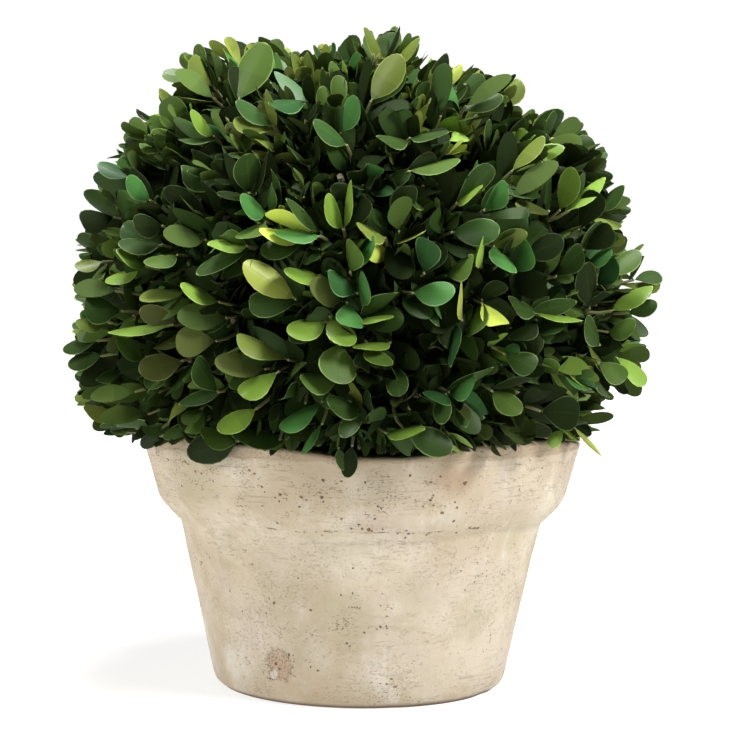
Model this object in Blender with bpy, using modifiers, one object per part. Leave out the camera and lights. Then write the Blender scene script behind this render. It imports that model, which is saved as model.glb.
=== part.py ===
"""A clipped ball of box in a low clay pot, at its real size in metres, +Z up.

The origin is the centre of the pot's flat underside. Four solids stand on each other, each 0.3 mm clear of
the next: the pot, the earth that fills it, a short woody stem, and the clipped ball of foliage.
"""

import math
import random

import bmesh
import bpy
from mathutils import Matrix, Vector
from mathutils.bvhtree import BVHTree

# Driving dimensions, in metres.
CLEARANCE = 0.0003
TURNED_STEPS = 44

RIM_RADIUS = 0.1000
POT_HEIGHT = 0.1135
BAND_HEIGHT = 0.0240  # straight outside of the rim, above its rounded lower edge
SHOULDER_HEIGHT = 0.0160  # rounded and sloping underside of the rim
RIM_INNER_RADIUS = 0.0870
FLOOR_THICKNESS = 0.0100
FLOOR_RADIUS = 0.0590
BODY_FOOT_RADIUS = 0.0659  # where the body's outside would meet the ground if its corner were sharp
BODY_TAPER = 0.2246  # growth of the outside radius for each metre of height
FOOT_ROUND = 0.0065
LIP_ROUND = 0.0016
BAND_TAPER_DEG = 14.0
SHOULDER_ROUND = 0.0120
SHOULDER_SLOPE_DEG = 42.0
HOLLOW_TOP_SHARE = 0.35  # of the shoulder's height, where its slope begins to hollow out
HOLLOW_LOW_SHARE = 0.12
HOLLOW_SWELL = 0.0006  # how far the hollow's low point stands off the body's straight taper
HOLLOW_RUN_OUT = 0.0020  # how far under the shoulder the hollow meets that taper

FILL_DEPTH_BELOW_RIM = 0.0220
FILL_DOME = 0.0030
FILL_FLAT_RADIUS = 0.0231  # the level place that the stem stands on
FILL_SLOPE_SHARES = (0.70, 0.45)  # of the fill's radius and of its dome, half way down the slope

STEM_FOOT_RADIUS = 0.0105
STEM_TOP_RADIUS = 0.0062
STEM_LEAN = (-0.0026, 0.0011)  # how far its top stands aside of the pot's axis
STEM_UPRIGHT_ENDS = 0.10  # share of its height that stays upright at its foot and at its top
STEM_STATIONS = (0.0, 0.10, 0.24, 0.45, 0.70, 0.90, 1.0)

BALL_CENTRE = (-0.0040, 0.0, 0.1770)  # at the ball's widest level
BALL_RADIUS = 0.1330
BALL_RISE = 0.1185  # from the widest level to the top
BALL_DROP = 0.0700  # from the widest level to the flat underside
UPPER_ROUNDNESS = 2.15  # exponent of the superellipse: 2 is an ellipse, more is squarer
LOWER_ROUNDNESS = 4.0

# Where the shears left the ball fuller or flatter: azimuth and elevation in degrees, the share of the
# outline's distance that it adds or takes, and how wide the place is in degrees.
CLIPPED_PLACES = (
    (180.0, 59.0, 0.070, 9.0),
    (0.0, 66.0, -0.055, 9.0),
    (0.0, 36.0, 0.045, 5.0),
    (0.0, 17.0, -0.055, 5.0),
    (0.0, 3.0, 0.045, 5.0),
    (0.0, -25.0, -0.050, 4.0),
    (180.0, -23.0, 0.040, 6.0),
    (180.0, -2.0, -0.025, 6.0),
)
SPARE_PLACES = 40  # smaller ones all round, spread and sized by the seed
SPARE_AMOUNT = 0.024
SPARE_WIDTH_DEG = 8.0
SPARE_DISTANCE_DEG = 14.0  # that they keep from the places listed above

CORE_SHARE = 0.83  # of the ball's radius and rise
CORE_DROP = 0.0620
CORE_LOWER_ROUNDNESS = 7.0
CORE_SUBDIVISIONS = 3
NECK_RADIUS = 0.0085
NECK_TOP_RADIUS = 0.0136
NECK_DROP = 0.0040  # how far it hangs out of the core's underside
NECK_HEIGHT = 0.0310
NECK_SIDES = 10

TWIG_COUNT = 126
TWIG_RADIUS = 0.0021
TWIG_TIP_RADIUS = 0.0017
TWIG_SIDES = 4  # so that each leaf of a pair leaves its twig through a face of its own
TWIG_ROOT_SHARE = 0.62  # of the ball's reach, well inside the core
TWIG_TIP_SHARE = 0.875
TWIG_WANDER = 0.05
LEAF_LENGTH = 0.0285
LEAF_WIDTH = 0.0190
LEAF_THICKNESS = 0.0013
LEAF_CUP = 0.08  # how far a leaf's sides are raised, as a share of its width
LEAF_NODE_SHARES = (0.864, 0.846)  # where the pairs of leaves stand, as shares of the ball's reach
LEAF_SPREAD_DEG = (42.0, 64.0)  # how far each pair opens from its twig
TIP_LEAF_SPREAD_DEG = 9.0
LEAF_WIDEST_AT = 0.60
LEAF_ROOT_SUNK = 0.0002
TIP_LEAF_SUNK = 0.0010
BLADE_STARTS_AT = 0.09  # share of a leaf's length that may touch other leaves at its joint
LEAF_TRIES = 6
LEAF_SHORTER_EACH_TRY = 0.07
LEAF_SIZES = (0.90, 1.10)  # smallest and largest, as shares of the size above
LEAF_SPREAD_DRAW_DEG = 12.0
LEAF_TURN_DRAW = 0.3  # radians round the twig
LEAF_NEIGHBOURHOOD = 1.5  # leaf lengths within which leaves are tested against each other
LEAF_EDGE_SAMPLES = 7
TIP_REACH_LIMIT = 1.03  # no leaf goes past this share of the ball's outline
POT_LEAF_GAP = 0.0012

SEED = 5
GOLDEN_ANGLE = math.pi * (3.0 - math.sqrt(5.0))


def clear_scene():
    """Removes whatever the startup scene holds."""
    for obj in list(bpy.data.objects):
        bpy.data.objects.remove(obj, do_unlink=True)


def new_collection(name, hidden=False):
    """A collection linked to the scene. A hidden one holds helpers and isn't part of the object."""
    collection = bpy.data.collections.new(name)
    bpy.context.scene.collection.children.link(collection)
    collection.hide_render = hidden
    return collection


def principled(name, colour, roughness):
    """A material with one Principled BSDF of this colour and roughness."""
    material = bpy.data.materials.new(name)
    material.use_nodes = True
    shader = material.node_tree.nodes["Principled BSDF"]
    shader.inputs["Base Color"].default_value = (*colour, 1.0)
    shader.inputs["Roughness"].default_value = roughness
    shader.inputs["Metallic"].default_value = 0.0
    return material


def add_object(name, data, collection, material):
    """Links a new object that shows this mesh or curve."""
    obj = bpy.data.objects.new(name, data)
    collection.objects.link(obj)
    data.materials.append(material)
    return obj


def arc(centre, radius, start_deg, end_deg, count):
    """Points (radius, height) along an arc in the plane of a turned profile."""
    points = []
    for i in range(count + 1):
        angle = math.radians(start_deg + (end_deg - start_deg) * i / count)
        points.append((centre[0] + radius * math.cos(angle), centre[1] + radius * math.sin(angle)))
    return points


def body_radius(height):
    """Outside radius of the pot's tapering body at this height."""
    return BODY_FOOT_RADIUS + BODY_TAPER * height


def inner_radius(height):
    """Inside radius of the pot's straight wall at this height."""
    share = (height - FLOOR_THICKNESS) / (POT_HEIGHT - FLOOR_THICKNESS)
    return FLOOR_RADIUS + (RIM_INNER_RADIUS - FLOOR_RADIUS) * share


def pot_profile():
    """The pot's half section, from its inside floor up the wall, over the lip and down the outside."""
    lip_top = POT_HEIGHT - LIP_ROUND
    inside = [(0.0, FLOOR_THICKNESS), (FLOOR_RADIUS, FLOOR_THICKNESS)]
    inside.append((inner_radius(lip_top), lip_top))
    inside += arc((RIM_INNER_RADIUS + LIP_ROUND, lip_top), LIP_ROUND, 135, 90, 1)
    lip = arc((RIM_RADIUS - LIP_ROUND, lip_top), LIP_ROUND, 90, -BAND_TAPER_DEG, 3)

    taper = math.radians(BAND_TAPER_DEG)
    band_low = (RIM_RADIUS - BAND_HEIGHT * math.tan(taper), POT_HEIGHT - BAND_HEIGHT)
    round_centre = (
        band_low[0] - SHOULDER_ROUND * math.cos(taper),
        band_low[1] + SHOULDER_ROUND * math.sin(taper),
    )
    shoulder = arc(round_centre, SHOULDER_ROUND, -BAND_TAPER_DEG, -SHOULDER_SLOPE_DEG, 3)
    shoulder_low = band_low[1] - SHOULDER_HEIGHT
    hollow_top = shoulder_low + HOLLOW_TOP_SHARE * SHOULDER_HEIGHT
    slope = math.tan(math.radians(SHOULDER_SLOPE_DEG))
    slope_radius = shoulder[-1][0] - slope * (shoulder[-1][1] - hollow_top)
    run_out = shoulder_low - HOLLOW_RUN_OUT
    hollow = [
        (slope_radius, hollow_top),
        (body_radius(shoulder_low) + HOLLOW_SWELL, shoulder_low + HOLLOW_LOW_SHARE * SHOULDER_HEIGHT),
        (body_radius(run_out), run_out),
    ]
    foot_centre = (body_radius(FOOT_ROUND) - FOOT_ROUND, FOOT_ROUND)
    foot = arc(foot_centre, FOOT_ROUND, -math.degrees(math.atan(BODY_TAPER)), -90, 4)
    return inside + lip + shoulder + hollow + foot + [(0.0, 0.0)]


def turned(name, profile, collection, material):
    """A solid turned round the Z axis from a profile that starts and ends on the axis."""
    mesh = bpy.data.meshes.new(name)
    edges = [(i, i + 1) for i in range(len(profile) - 1)]
    mesh.from_pydata([(radius, 0.0, height) for radius, height in profile], edges, [])
    obj = add_object(name, mesh, collection, material)
    screw = obj.modifiers.new("turn", "SCREW")
    screw.axis = "Z"
    screw.angle = math.tau
    screw.steps = TURNED_STEPS
    screw.render_steps = TURNED_STEPS
    screw.use_merge_vertices = True
    screw.merge_threshold = 0.00001
    screw.use_smooth_shade = True
    return obj


def fill_top():
    """Height of the flat place in the middle of the earth, which the stem stands on."""
    return POT_HEIGHT - FILL_DEPTH_BELOW_RIM + FILL_DOME


def make_pot(collection):
    """The low clay pot, with its heavy rim and rounded foot."""
    material = principled("aged_clay", (0.60, 0.52, 0.40), 0.85)
    return turned("pot", pot_profile(), collection, material)


def make_fill(collection):
    """The earth in the pot: it stands on the pot's floor and rises a little towards the stem."""
    bottom = FLOOR_THICKNESS + CLEARANCE
    edge = POT_HEIGHT - FILL_DEPTH_BELOW_RIM
    slope_radius, slope_rise = FILL_SLOPE_SHARES
    profile = [
        (0.0, fill_top()),
        (FILL_FLAT_RADIUS, fill_top()),
        (slope_radius * inner_radius(edge), edge + slope_rise * FILL_DOME),
        (inner_radius(edge) - CLEARANCE, edge),
        (inner_radius(bottom) - CLEARANCE, bottom),
        (0.0, bottom),
    ]
    return turned("pot_fill", profile, collection, principled("dark_earth", (0.06, 0.04, 0.025), 0.95))


def make_stem(collection):
    """The short stem: flared at its flat foot, leaning a little, and cut flat under the ball's core."""
    foot = fill_top() + CLEARANCE
    top = neck_foot().z - CLEARANCE
    height = top - foot
    curve = bpy.data.curves.new("stem", "CURVE")
    curve.dimensions = "3D"
    curve.bevel_depth = 1.0
    curve.bevel_resolution = 3
    curve.use_fill_caps = True
    spline = curve.splines.new("POLY")
    spline.points.add(len(STEM_STATIONS) - 1)
    for point, share in zip(spline.points, STEM_STATIONS):
        lean = smooth_step((share - STEM_UPRIGHT_ENDS) / (1.0 - 2.0 * STEM_UPRIGHT_ENDS))
        flare = (STEM_FOOT_RADIUS - STEM_TOP_RADIUS) * (1.0 - share) ** 3
        point.co = (STEM_LEAN[0] * lean, STEM_LEAN[1] * lean, foot + height * share, 1.0)
        point.radius = STEM_TOP_RADIUS + flare
    return add_object("stem", curve, collection, principled("box_bark", (0.25, 0.19, 0.12), 0.9))


def smooth_step(share):
    """0 up to a share of 0, 1 from a share of 1, and a smooth rise between them."""
    share = min(1.0, max(0.0, share))
    return share * share * (3.0 - 2.0 * share)


def ball_centre():
    """The middle of the ball's widest level."""
    return Vector(BALL_CENTRE)


def neck_foot():
    """The middle of the flat lower end of the foliage's own stem, over the top of the plant's stem."""
    return Vector((*STEM_LEAN, BALL_CENTRE[2] - CORE_DROP - NECK_DROP))


def unit(azimuth_deg, elevation_deg):
    """The unit vector at this azimuth from +X and this elevation."""
    azimuth, elevation = math.radians(azimuth_deg), math.radians(elevation_deg)
    across = math.cos(elevation)
    return Vector((across * math.cos(azimuth), across * math.sin(azimuth), math.sin(elevation)))


def smooth_reach(direction, radius, rise, drop, lower_roundness):
    """Distance from its centre, along a unit direction, to a superellipsoid of these half sizes."""
    across = math.hypot(direction.x, direction.y) / radius
    if direction.z > 0.0:
        along, power = direction.z / rise, UPPER_ROUNDNESS
    else:
        along, power = -direction.z / drop, lower_roundness
    return (across**power + along**power) ** (-1.0 / power)


def core_reach(direction):
    """Distance from the ball's centre to the surface of its solid core along a unit direction."""
    radius, rise = CORE_SHARE * BALL_RADIUS, CORE_SHARE * BALL_RISE
    return smooth_reach(direction, radius, rise, CORE_DROP, CORE_LOWER_ROUNDNESS)


class ClippedOutline:
    """The ball's outline: a smooth squarish ball, fuller or flatter where the shears left it so."""

    def __init__(self):
        named = [(unit(azimuth, elevation), *rest) for azimuth, elevation, *rest in CLIPPED_PLACES]
        draw = random.Random(SEED)
        spare = [
            (direction, draw.uniform(-SPARE_AMOUNT, SPARE_AMOUNT), SPARE_WIDTH_DEG)
            for direction in spiral_directions(SPARE_PLACES)
        ]
        distance = math.radians(SPARE_DISTANCE_DEG)
        spare = [place for place in spare if all(place[0].angle(other[0]) > distance for other in named)]
        self.places = [
            (direction, amount, math.radians(width) ** -2) for direction, amount, width in named + spare
        ]

    def reach(self, direction):
        """Distance from the ball's centre to its clipped outline along a unit direction."""
        share = 1.0
        for place, amount, sharpness in self.places:
            share += amount * math.exp(sharpness * (direction.dot(place) - 1.0))
        return share * smooth_reach(direction, BALL_RADIUS, BALL_RISE, BALL_DROP, LOWER_ROUNDNESS)

    def share(self, point):
        """Where a point lies between the ball's centre, 0, and its clipped outline, 1."""
        offset = point - ball_centre()
        return offset.length / self.reach(offset.normalized())


def clears_pot(point):
    """True if a point is above the pot's rim or outside it, with the gap that a leaf keeps."""
    beyond_rim = math.hypot(point.x, point.y) > RIM_RADIUS + POT_LEAF_GAP
    return beyond_rim or point.z > POT_HEIGHT + POT_LEAF_GAP


def spiral_directions(count):
    """Unit directions spread evenly over a sphere along a golden-angle spiral, from the top down."""
    for i in range(count):
        height = 1.0 - 2.0 * (i + 0.5) / count
        across = math.sqrt(1.0 - height * height)
        turn = i * GOLDEN_ANGLE
        yield Vector((across * math.cos(turn), across * math.sin(turn), height))


def leaf_points(root, along, face, length, width):
    """The six corners of a leaf: root, tip, two sides, and the middle of its face and of its back."""
    side = face.cross(along).normalized()
    middle = root + LEAF_WIDEST_AT * length * along
    lift = LEAF_CUP * width * face
    return [
        root,
        root + length * along,
        middle + 0.5 * width * side + lift,
        middle - 0.5 * width * side + lift,
        middle + 0.5 * LEAF_THICKNESS * face,
        middle - 0.5 * LEAF_THICKNESS * face,
    ]


def leaf_fits(points, outline):
    """True if a leaf stays inside the ball's outline and clear of the pot, tested along its edges."""
    root, tip, left, right = points[:4]
    edges = ((root, left), (root, right), (left, tip), (right, tip), (root, tip))
    steps = [step / (LEAF_EDGE_SAMPLES - 1) for step in range(LEAF_EDGE_SAMPLES)]
    samples = [start.lerp(end, step) for start, end in edges for step in steps]
    return all(outline.share(point) < TIP_REACH_LIMIT and clears_pot(point) for point in samples)


def mesh_from(builder, name):
    """The mesh that a bmesh builder holds. The builder is freed."""
    mesh = bpy.data.meshes.new(name)
    builder.to_mesh(mesh)
    builder.free()
    return mesh


def leaf_mesh(points):
    """A leaf of eight faces: an octahedron whose corners are moved to the leaf's own."""
    root, tip, left, right, face, back = points
    corners = {
        (1, 0, 0): tip,
        (-1, 0, 0): root,
        (0, 1, 0): left,
        (0, -1, 0): right,
        (0, 0, 1): face,
        (0, 0, -1): back,
    }
    builder = bmesh.new()
    bmesh.ops.create_uvsphere(builder, u_segments=4, v_segments=2, radius=1.0)
    for vertex in builder.verts:
        vertex.co = corners[tuple(round(x) for x in vertex.co)]
    return mesh_from(builder, "leaf")


def tapered_mesh(name, start, end, start_radius, end_radius, sides, turn=0.0):
    """A straight tapering stick with flat ends, its corners turned about its own length."""
    run = end - start
    facing = run.to_track_quat("Z", "Y").to_matrix().to_4x4() @ Matrix.Rotation(turn, 4, "Z")
    builder = bmesh.new()
    bmesh.ops.create_cone(
        builder,
        cap_ends=True,
        segments=sides,
        radius1=start_radius,
        radius2=end_radius,
        depth=run.length,
        matrix=Matrix.Translation(0.5 * (start + end)) @ facing,
    )
    return mesh_from(builder, name)


def core_mesh():
    """The dense inside of the ball, as one rounded solid that the twigs stand out of."""
    builder = bmesh.new()
    bmesh.ops.create_icosphere(builder, subdivisions=CORE_SUBDIVISIONS, radius=1.0)
    for vertex in builder.verts:
        direction = vertex.co.normalized()
        vertex.co = ball_centre() + core_reach(direction) * direction
    return mesh_from(builder, "foliage_ball")


class Sprig:
    """A twig that stands out of the core, with a search tree over its sides."""

    def __init__(self, direction, outline, draw):
        heading = (direction + TWIG_WANDER * random_vector(draw)).normalized()
        self.start = ball_centre() + TWIG_ROOT_SHARE * outline.reach(direction) * direction
        self.end = ball_centre() + TWIG_TIP_SHARE * outline.reach(heading) * heading
        self.along = (self.end - self.start).normalized()
        turn = draw.uniform(0.0, math.tau)
        self.mesh = tapered_mesh(
            "twig", self.start, self.end, TWIG_RADIUS, TWIG_TIP_RADIUS, TWIG_SIDES, turn
        )
        toward_face = Matrix.Rotation(turn + math.pi / TWIG_SIDES, 3, "Z") @ Vector((1.0, 0.0, 0.0))
        self.first_side = self.along.to_track_quat("Z", "Y") @ toward_face
        corners = [vertex.co.copy() for vertex in self.mesh.vertices]
        faces = [tuple(polygon.vertices) for polygon in self.mesh.polygons]
        self.tree = BVHTree.FromPolygons(corners, faces)

    def joint(self, share):
        """The point where leaves stand at this share of the ball's reach."""
        return self.start.lerp(self.end, (share - TWIG_ROOT_SHARE) / (TWIG_TIP_SHARE - TWIG_ROOT_SHARE))


class Foliage:
    """Grows twigs and leaves over the ball and keeps leaves from cutting through their neighbours."""

    def __init__(self, outline, collection, material):
        self.outline = outline
        self.collection = collection
        self.material = material
        self.draw = random.Random(SEED)
        self.blades = []
        self.sprigs = []

    def add(self, mesh):
        """Adds a piece that the union joins to the core."""
        add_object(mesh.name, mesh, self.collection, self.material)

    def grow_twigs(self):
        """Stands the twigs out of the core, wherever their ends are clear of the pot."""
        for direction in spiral_directions(TWIG_COUNT):
            sprig = Sprig(direction, self.outline, self.draw)
            if clears_pot(sprig.end):
                self.sprigs.append(sprig)
                self.add(sprig.mesh)

    def grow_leaves(self):
        """Gives each twig a leaf at its tip and pairs of opposite leaves, a quarter turn between pairs."""
        for sprig in self.sprigs:
            joint = sprig.end - TIP_LEAF_SUNK * sprig.along
            self.grow_leaf(sprig, joint, 0.0, TIP_LEAF_SPREAD_DEG)
        for pair, share in enumerate(LEAF_NODE_SHARES):
            for sprig in self.sprigs:
                for half in range(2):
                    turn = 0.5 * math.pi * pair + math.pi * half
                    self.grow_leaf(sprig, sprig.joint(share), turn, LEAF_SPREAD_DEG[pair])

    def grow_leaf(self, sprig, joint, turn, spread):
        """Adds a leaf that opens from its twig by about spread degrees on the side that turn gives.

        A leaf that would leave the ball, meet the pot or cut through another leaf is tried again at another
        angle and a little shorter, and then left out.
        """
        size = self.draw.uniform(*LEAF_SIZES)
        for attempt in range(LEAF_TRIES):
            turned_by = turn + self.draw.uniform(-LEAF_TURN_DRAW, LEAF_TURN_DRAW)
            opening = spread + self.draw.uniform(-LEAF_SPREAD_DRAW_DEG, LEAF_SPREAD_DRAW_DEG)
            opening = math.radians(opening)
            side = Matrix.Rotation(turned_by, 3, sprig.along) @ sprig.first_side
            along = math.cos(opening) * sprig.along + math.sin(opening) * side
            face = math.sin(opening) * sprig.along - math.cos(opening) * side
            length = size * LEAF_LENGTH * (1.0 - LEAF_SHORTER_EACH_TRY * attempt)
            root = joint - LEAF_ROOT_SUNK * along
            points = leaf_points(root, along, face, length, size * LEAF_WIDTH)
            if leaf_fits(points, self.outline) and self.is_free(points, sprig):
                self.add(leaf_mesh(points))
                return

    def is_free(self, points, own_sprig):
        """True if a leaf's blade cuts through no other leaf and no other twig. It then counts as placed."""
        root, tip, left, right = points[:4]
        middle = root.lerp(tip, LEAF_WIDEST_AT)
        corners = [root.lerp(tip, BLADE_STARTS_AT), left, tip, right]
        tree = BVHTree.FromPolygons(corners, [(0, 1, 2), (0, 2, 3)])
        nearby = LEAF_NEIGHBOURHOOD * LEAF_LENGTH
        others = [(sprig.end, sprig.tree) for sprig in self.sprigs if sprig is not own_sprig]
        near = [other for spot, other in self.blades + others if (spot - middle).length < nearby]
        if any(tree.overlap(other) for other in near):
            return False
        self.blades.append((middle, tree))
        return True


def random_vector(draw):
    """A vector of three normal draws."""
    return Vector((draw.gauss(0.0, 1.0), draw.gauss(0.0, 1.0), draw.gauss(0.0, 1.0)))


def keep_main_shell(mesh):
    """Drops loose scraps and the walls of sealed hollows, so that the mesh is one closed body."""
    builder = bmesh.new()
    builder.from_mesh(mesh)
    waiting = set(builder.verts)
    shells = []
    while waiting:
        shell = set()
        edge_of_search = [waiting.pop()]
        while edge_of_search:
            vertex = edge_of_search.pop()
            shell.add(vertex)
            for edge in vertex.link_edges:
                other = edge.other_vert(vertex)
                if other in waiting:
                    waiting.remove(other)
                    edge_of_search.append(other)
        shells.append(shell)
    shells.sort(key=len)
    spare = [vertex for shell in shells[:-1] for vertex in shell]
    bmesh.ops.delete(builder, geom=spare, context="VERTS")
    builder.to_mesh(mesh)
    builder.free()


def make_foliage(collection):
    """The clipped ball: a core, a neck, and twigs with leaves, joined by one union into one solid."""
    material = principled("box_leaf", (0.05, 0.11, 0.03), 0.45)
    pieces = new_collection("foliage_pieces", hidden=True)
    ball = add_object("foliage_ball", core_mesh(), collection, material)
    foliage = Foliage(ClippedOutline(), pieces, material)
    neck_top = neck_foot() + Vector((0.0, 0.0, NECK_HEIGHT))
    foliage.add(tapered_mesh("neck", neck_foot(), neck_top, NECK_RADIUS, NECK_TOP_RADIUS, NECK_SIDES))
    foliage.grow_twigs()
    foliage.grow_leaves()
    union = ball.modifiers.new("join", "BOOLEAN")
    union.operation = "UNION"
    union.operand_type = "COLLECTION"
    union.collection = pieces
    union.solver = "MANIFOLD"
    graph = bpy.context.evaluated_depsgraph_get()
    joined = bpy.data.meshes.new_from_object(ball.evaluated_get(graph))
    ball.modifiers.remove(union)
    ball.data = joined
    keep_main_shell(joined)
    for piece in list(pieces.objects):
        bpy.data.objects.remove(piece, do_unlink=True)
    bpy.data.collections.remove(pieces)
    return ball


def main():
    """Builds the plant and its pot in one collection."""
    clear_scene()
    collection = new_collection("box_topiary_ball")
    make_pot(collection)
    make_fill(collection)
    make_stem(collection)
    make_foliage(collection)


main()
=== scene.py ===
"""Studio scene of a clipped ball of box in a low, aged clay pot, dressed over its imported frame.

All sizes are metres in the frame's own axes: +Z is up, the origin is the middle of the pot's flat underside,
and the plant's front looks toward -Y.
"""

import sys

import logging
import math
import random
from collections.abc import Callable, Iterable, Iterator
from contextlib import contextmanager
from dataclasses import dataclass, field, replace
from enum import Enum
from itertools import product

import bpy
import numpy as np
from mathutils import Matrix, Vector
from mathutils.bvhtree import BVHTree


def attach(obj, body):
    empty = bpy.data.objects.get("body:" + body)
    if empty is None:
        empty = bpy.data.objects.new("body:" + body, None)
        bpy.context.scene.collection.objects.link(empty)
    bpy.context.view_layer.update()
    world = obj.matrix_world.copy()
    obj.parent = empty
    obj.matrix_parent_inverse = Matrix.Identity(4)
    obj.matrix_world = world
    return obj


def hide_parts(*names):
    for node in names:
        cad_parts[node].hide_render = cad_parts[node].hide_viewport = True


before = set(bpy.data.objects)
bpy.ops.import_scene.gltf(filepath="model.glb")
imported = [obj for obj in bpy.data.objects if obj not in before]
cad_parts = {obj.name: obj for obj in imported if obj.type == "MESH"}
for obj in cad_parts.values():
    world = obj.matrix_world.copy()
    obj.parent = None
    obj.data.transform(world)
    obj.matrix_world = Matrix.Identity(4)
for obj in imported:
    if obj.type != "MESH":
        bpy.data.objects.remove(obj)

LOG = logging.getLogger("topiary")
BODY = "root"
PIXELS = 730  # the picture's width and height
GOLDEN_ANGLE = math.pi * (3.0 - math.sqrt(5.0))
EYE = (0.0010, -1.0183, 0.2058)
MOST_TRIANGLES = 190_000  # in one piece
ORIGIN = (0.0, 0.0, 0.0)
WHITE = (1.0, 1.0, 1.0)

Colour = tuple[float, float, float]
Profile = list[tuple[float, float]]
Test = Callable[[Vector], bool]


# --- Working with Blender's modelling operators -------------------------------------------------------


def select_only(*pieces: bpy.types.Object) -> None:
    """Leaves object mode with these pieces alone selected, the first of them active."""
    if bpy.context.mode != "OBJECT":
        bpy.ops.object.mode_set(mode="OBJECT")
    bpy.ops.object.select_all(action="DESELECT")
    for piece in pieces:
        piece.select_set(True)
    if pieces:
        bpy.context.view_layer.objects.active = pieces[0]


def new_primitive(name: str, add: Callable[..., set[str]], **settings: object) -> bpy.types.Object:
    """Adds a primitive as a new piece, alone selected and active.

    Args:
        name: the piece's name.
        add: the operator that adds the primitive.
        **settings: the operator's own settings.

    Returns:
        The new object.
    """
    select_only()
    add(**settings)
    piece = bpy.context.object
    piece.name = piece.data.name = name
    return piece


@contextmanager
def editing(test: Test | None = None) -> Iterator[None]:
    """Edits the active mesh for a while.

    Args:
        test: takes a vertex's place and says whether to select it. Without it all of them are selected.
    """
    bpy.ops.object.mode_set(mode="EDIT")
    bpy.ops.mesh.select_mode(type="VERT")
    bpy.ops.mesh.select_all(action="DESELECT" if test else "SELECT")
    if test:
        bpy.ops.object.mode_set(mode="OBJECT")
        for vertex in bpy.context.object.data.vertices:
            vertex.select = test(vertex.co)
        bpy.ops.object.mode_set(mode="EDIT")
    yield
    bpy.ops.object.mode_set(mode="OBJECT")


def move(shift: Iterable[float], test: Test | None = None, spread: float = 0.0) -> None:
    """Moves the active mesh's vertices.

    Args:
        shift: how far they move.
        test: says which vertices move. Without it all of them do.
        spread: how far round them the surface follows.
    """
    soft = {"use_proportional_edit": True, "proportional_edit_falloff": "SMOOTH", "proportional_size": spread}
    with editing(test):
        bpy.ops.transform.translate(value=shift, **(soft if spread else {}))


def weld(reach: float) -> None:
    """Joins the active mesh's vertices that are this close."""
    with editing():
        bpy.ops.mesh.remove_doubles(threshold=reach)


def add_relief(
    piece: bpy.types.Object, grain: float, depth: float, octaves: int = 2, **settings: object
) -> None:
    """Moves a surface in and out by a soft procedural noise.

    Args:
        piece: the mesh object.
        grain: size of the noise's lumps.
        depth: how far it moves the surface from its lowest to its highest place.
        octaves: how much finer noise it adds.
        **settings: the modifier's other settings.
    """
    noise = bpy.data.textures.new("relief", "CLOUDS")
    noise.noise_scale = grain
    noise.noise_depth = octaves
    select_only(piece)
    modifier = piece.modifiers.new("relief", "DISPLACE")
    settings = {"texture": noise, "texture_coords": "LOCAL", "strength": depth, "mid_level": 0.5} | settings
    for name, value in settings.items():
        setattr(modifier, name, value)
    bpy.ops.object.modifier_apply(modifier=modifier.name)


def turn_profile(name: str, profile: Profile, steps: int) -> bpy.types.Object:
    """Turns a half section round the Z axis, as on a wheel.

    Args:
        name: the piece's name.
        profile: points (radius, height) of the half section.
        steps: how many steps make the whole turn.

    Returns:
        The turned mesh object, closed where the profile starts and ends on the axis.
    """
    piece = new_primitive(name, bpy.ops.mesh.primitive_plane_add, size=0.01)
    with editing():
        bpy.ops.mesh.merge(type="CENTER")
        bpy.ops.transform.translate(value=(profile[0][0], 0.0, profile[0][1]))
        for start, end in zip(profile, profile[1:]):
            step = (end[0] - start[0], 0.0, end[1] - start[1])
            bpy.ops.mesh.extrude_region_move(TRANSFORM_OT_translate={"value": step})
        bpy.ops.mesh.select_all(action="SELECT")
        bpy.ops.mesh.spin(steps=steps, angle=math.tau, center=ORIGIN, axis=(0.0, 0.0, 1.0))
        bpy.ops.mesh.select_all(action="SELECT")
        bpy.ops.mesh.remove_doubles(threshold=0.00001)
        bpy.ops.mesh.normals_make_consistent(inside=False)
    return piece


def arc(centre: tuple[float, float], radius: float, start: float, end: float, count: int) -> Profile:
    """The ends of an arc's equal steps, in the plane of a turned profile.

    Args:
        centre: (radius, height) of the arc's centre.
        radius: its own radius.
        start: angle in degrees of its first point.
        end: angle in degrees of its last point.
        count: how many steps it is cut into.

    Returns:
        The points, count + 1 of them.
    """
    angles = [math.radians(start + (end - start) * step / count) for step in range(count + 1)]
    return [(centre[0] + radius * math.cos(a), centre[1] + radius * math.sin(a)) for a in angles]


def resampled(profile: Profile, longest: float) -> Profile:
    """The same profile with points added, so that no run between two points is longer than this."""
    points = [profile[0]]
    for start, end in zip(profile, profile[1:]):
        cuts = max(1, math.ceil(math.dist(start, end) / longest))
        shares = [cut / cuts for cut in range(1, cuts + 1)]
        points += [tuple(a + (b - a) * share for a, b in zip(start, end)) for share in shares]
    return points


def smooth_step(share: float) -> float:
    """0 up to a share of 0, 1 from a share of 1, and a smooth rise between them."""
    share = min(1.0, max(0.0, share))
    return share * share * (3.0 - 2.0 * share)


def dress(
    piece: bpy.types.Object, degrees: float, materials: Iterable[bpy.types.Material]
) -> bpy.types.Object:
    """Shades a piece smooth, but for edges sharper than this angle, and gives it its materials."""
    select_only(piece)
    bpy.ops.object.shade_smooth_by_angle(angle=math.radians(degrees))
    for material in materials:
        piece.data.materials.append(material)
    return piece


def stand_for(piece: bpy.types.Object, node: str) -> None:
    """Ties a finished piece to the body and hides the CAD node that it stands for.

    Args:
        piece: the finished object.
        node: the CAD node that it replaces.
    """
    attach(piece, BODY)
    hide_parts(node)
    LOG.info("%s: %d faces, stands for %s", piece.name, len(piece.data.polygons), node)


# --- Shader building ----------------------------------------------------------------------------------

Source = object  # a number, a colour or vector, or the Value that feeds an input


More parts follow.
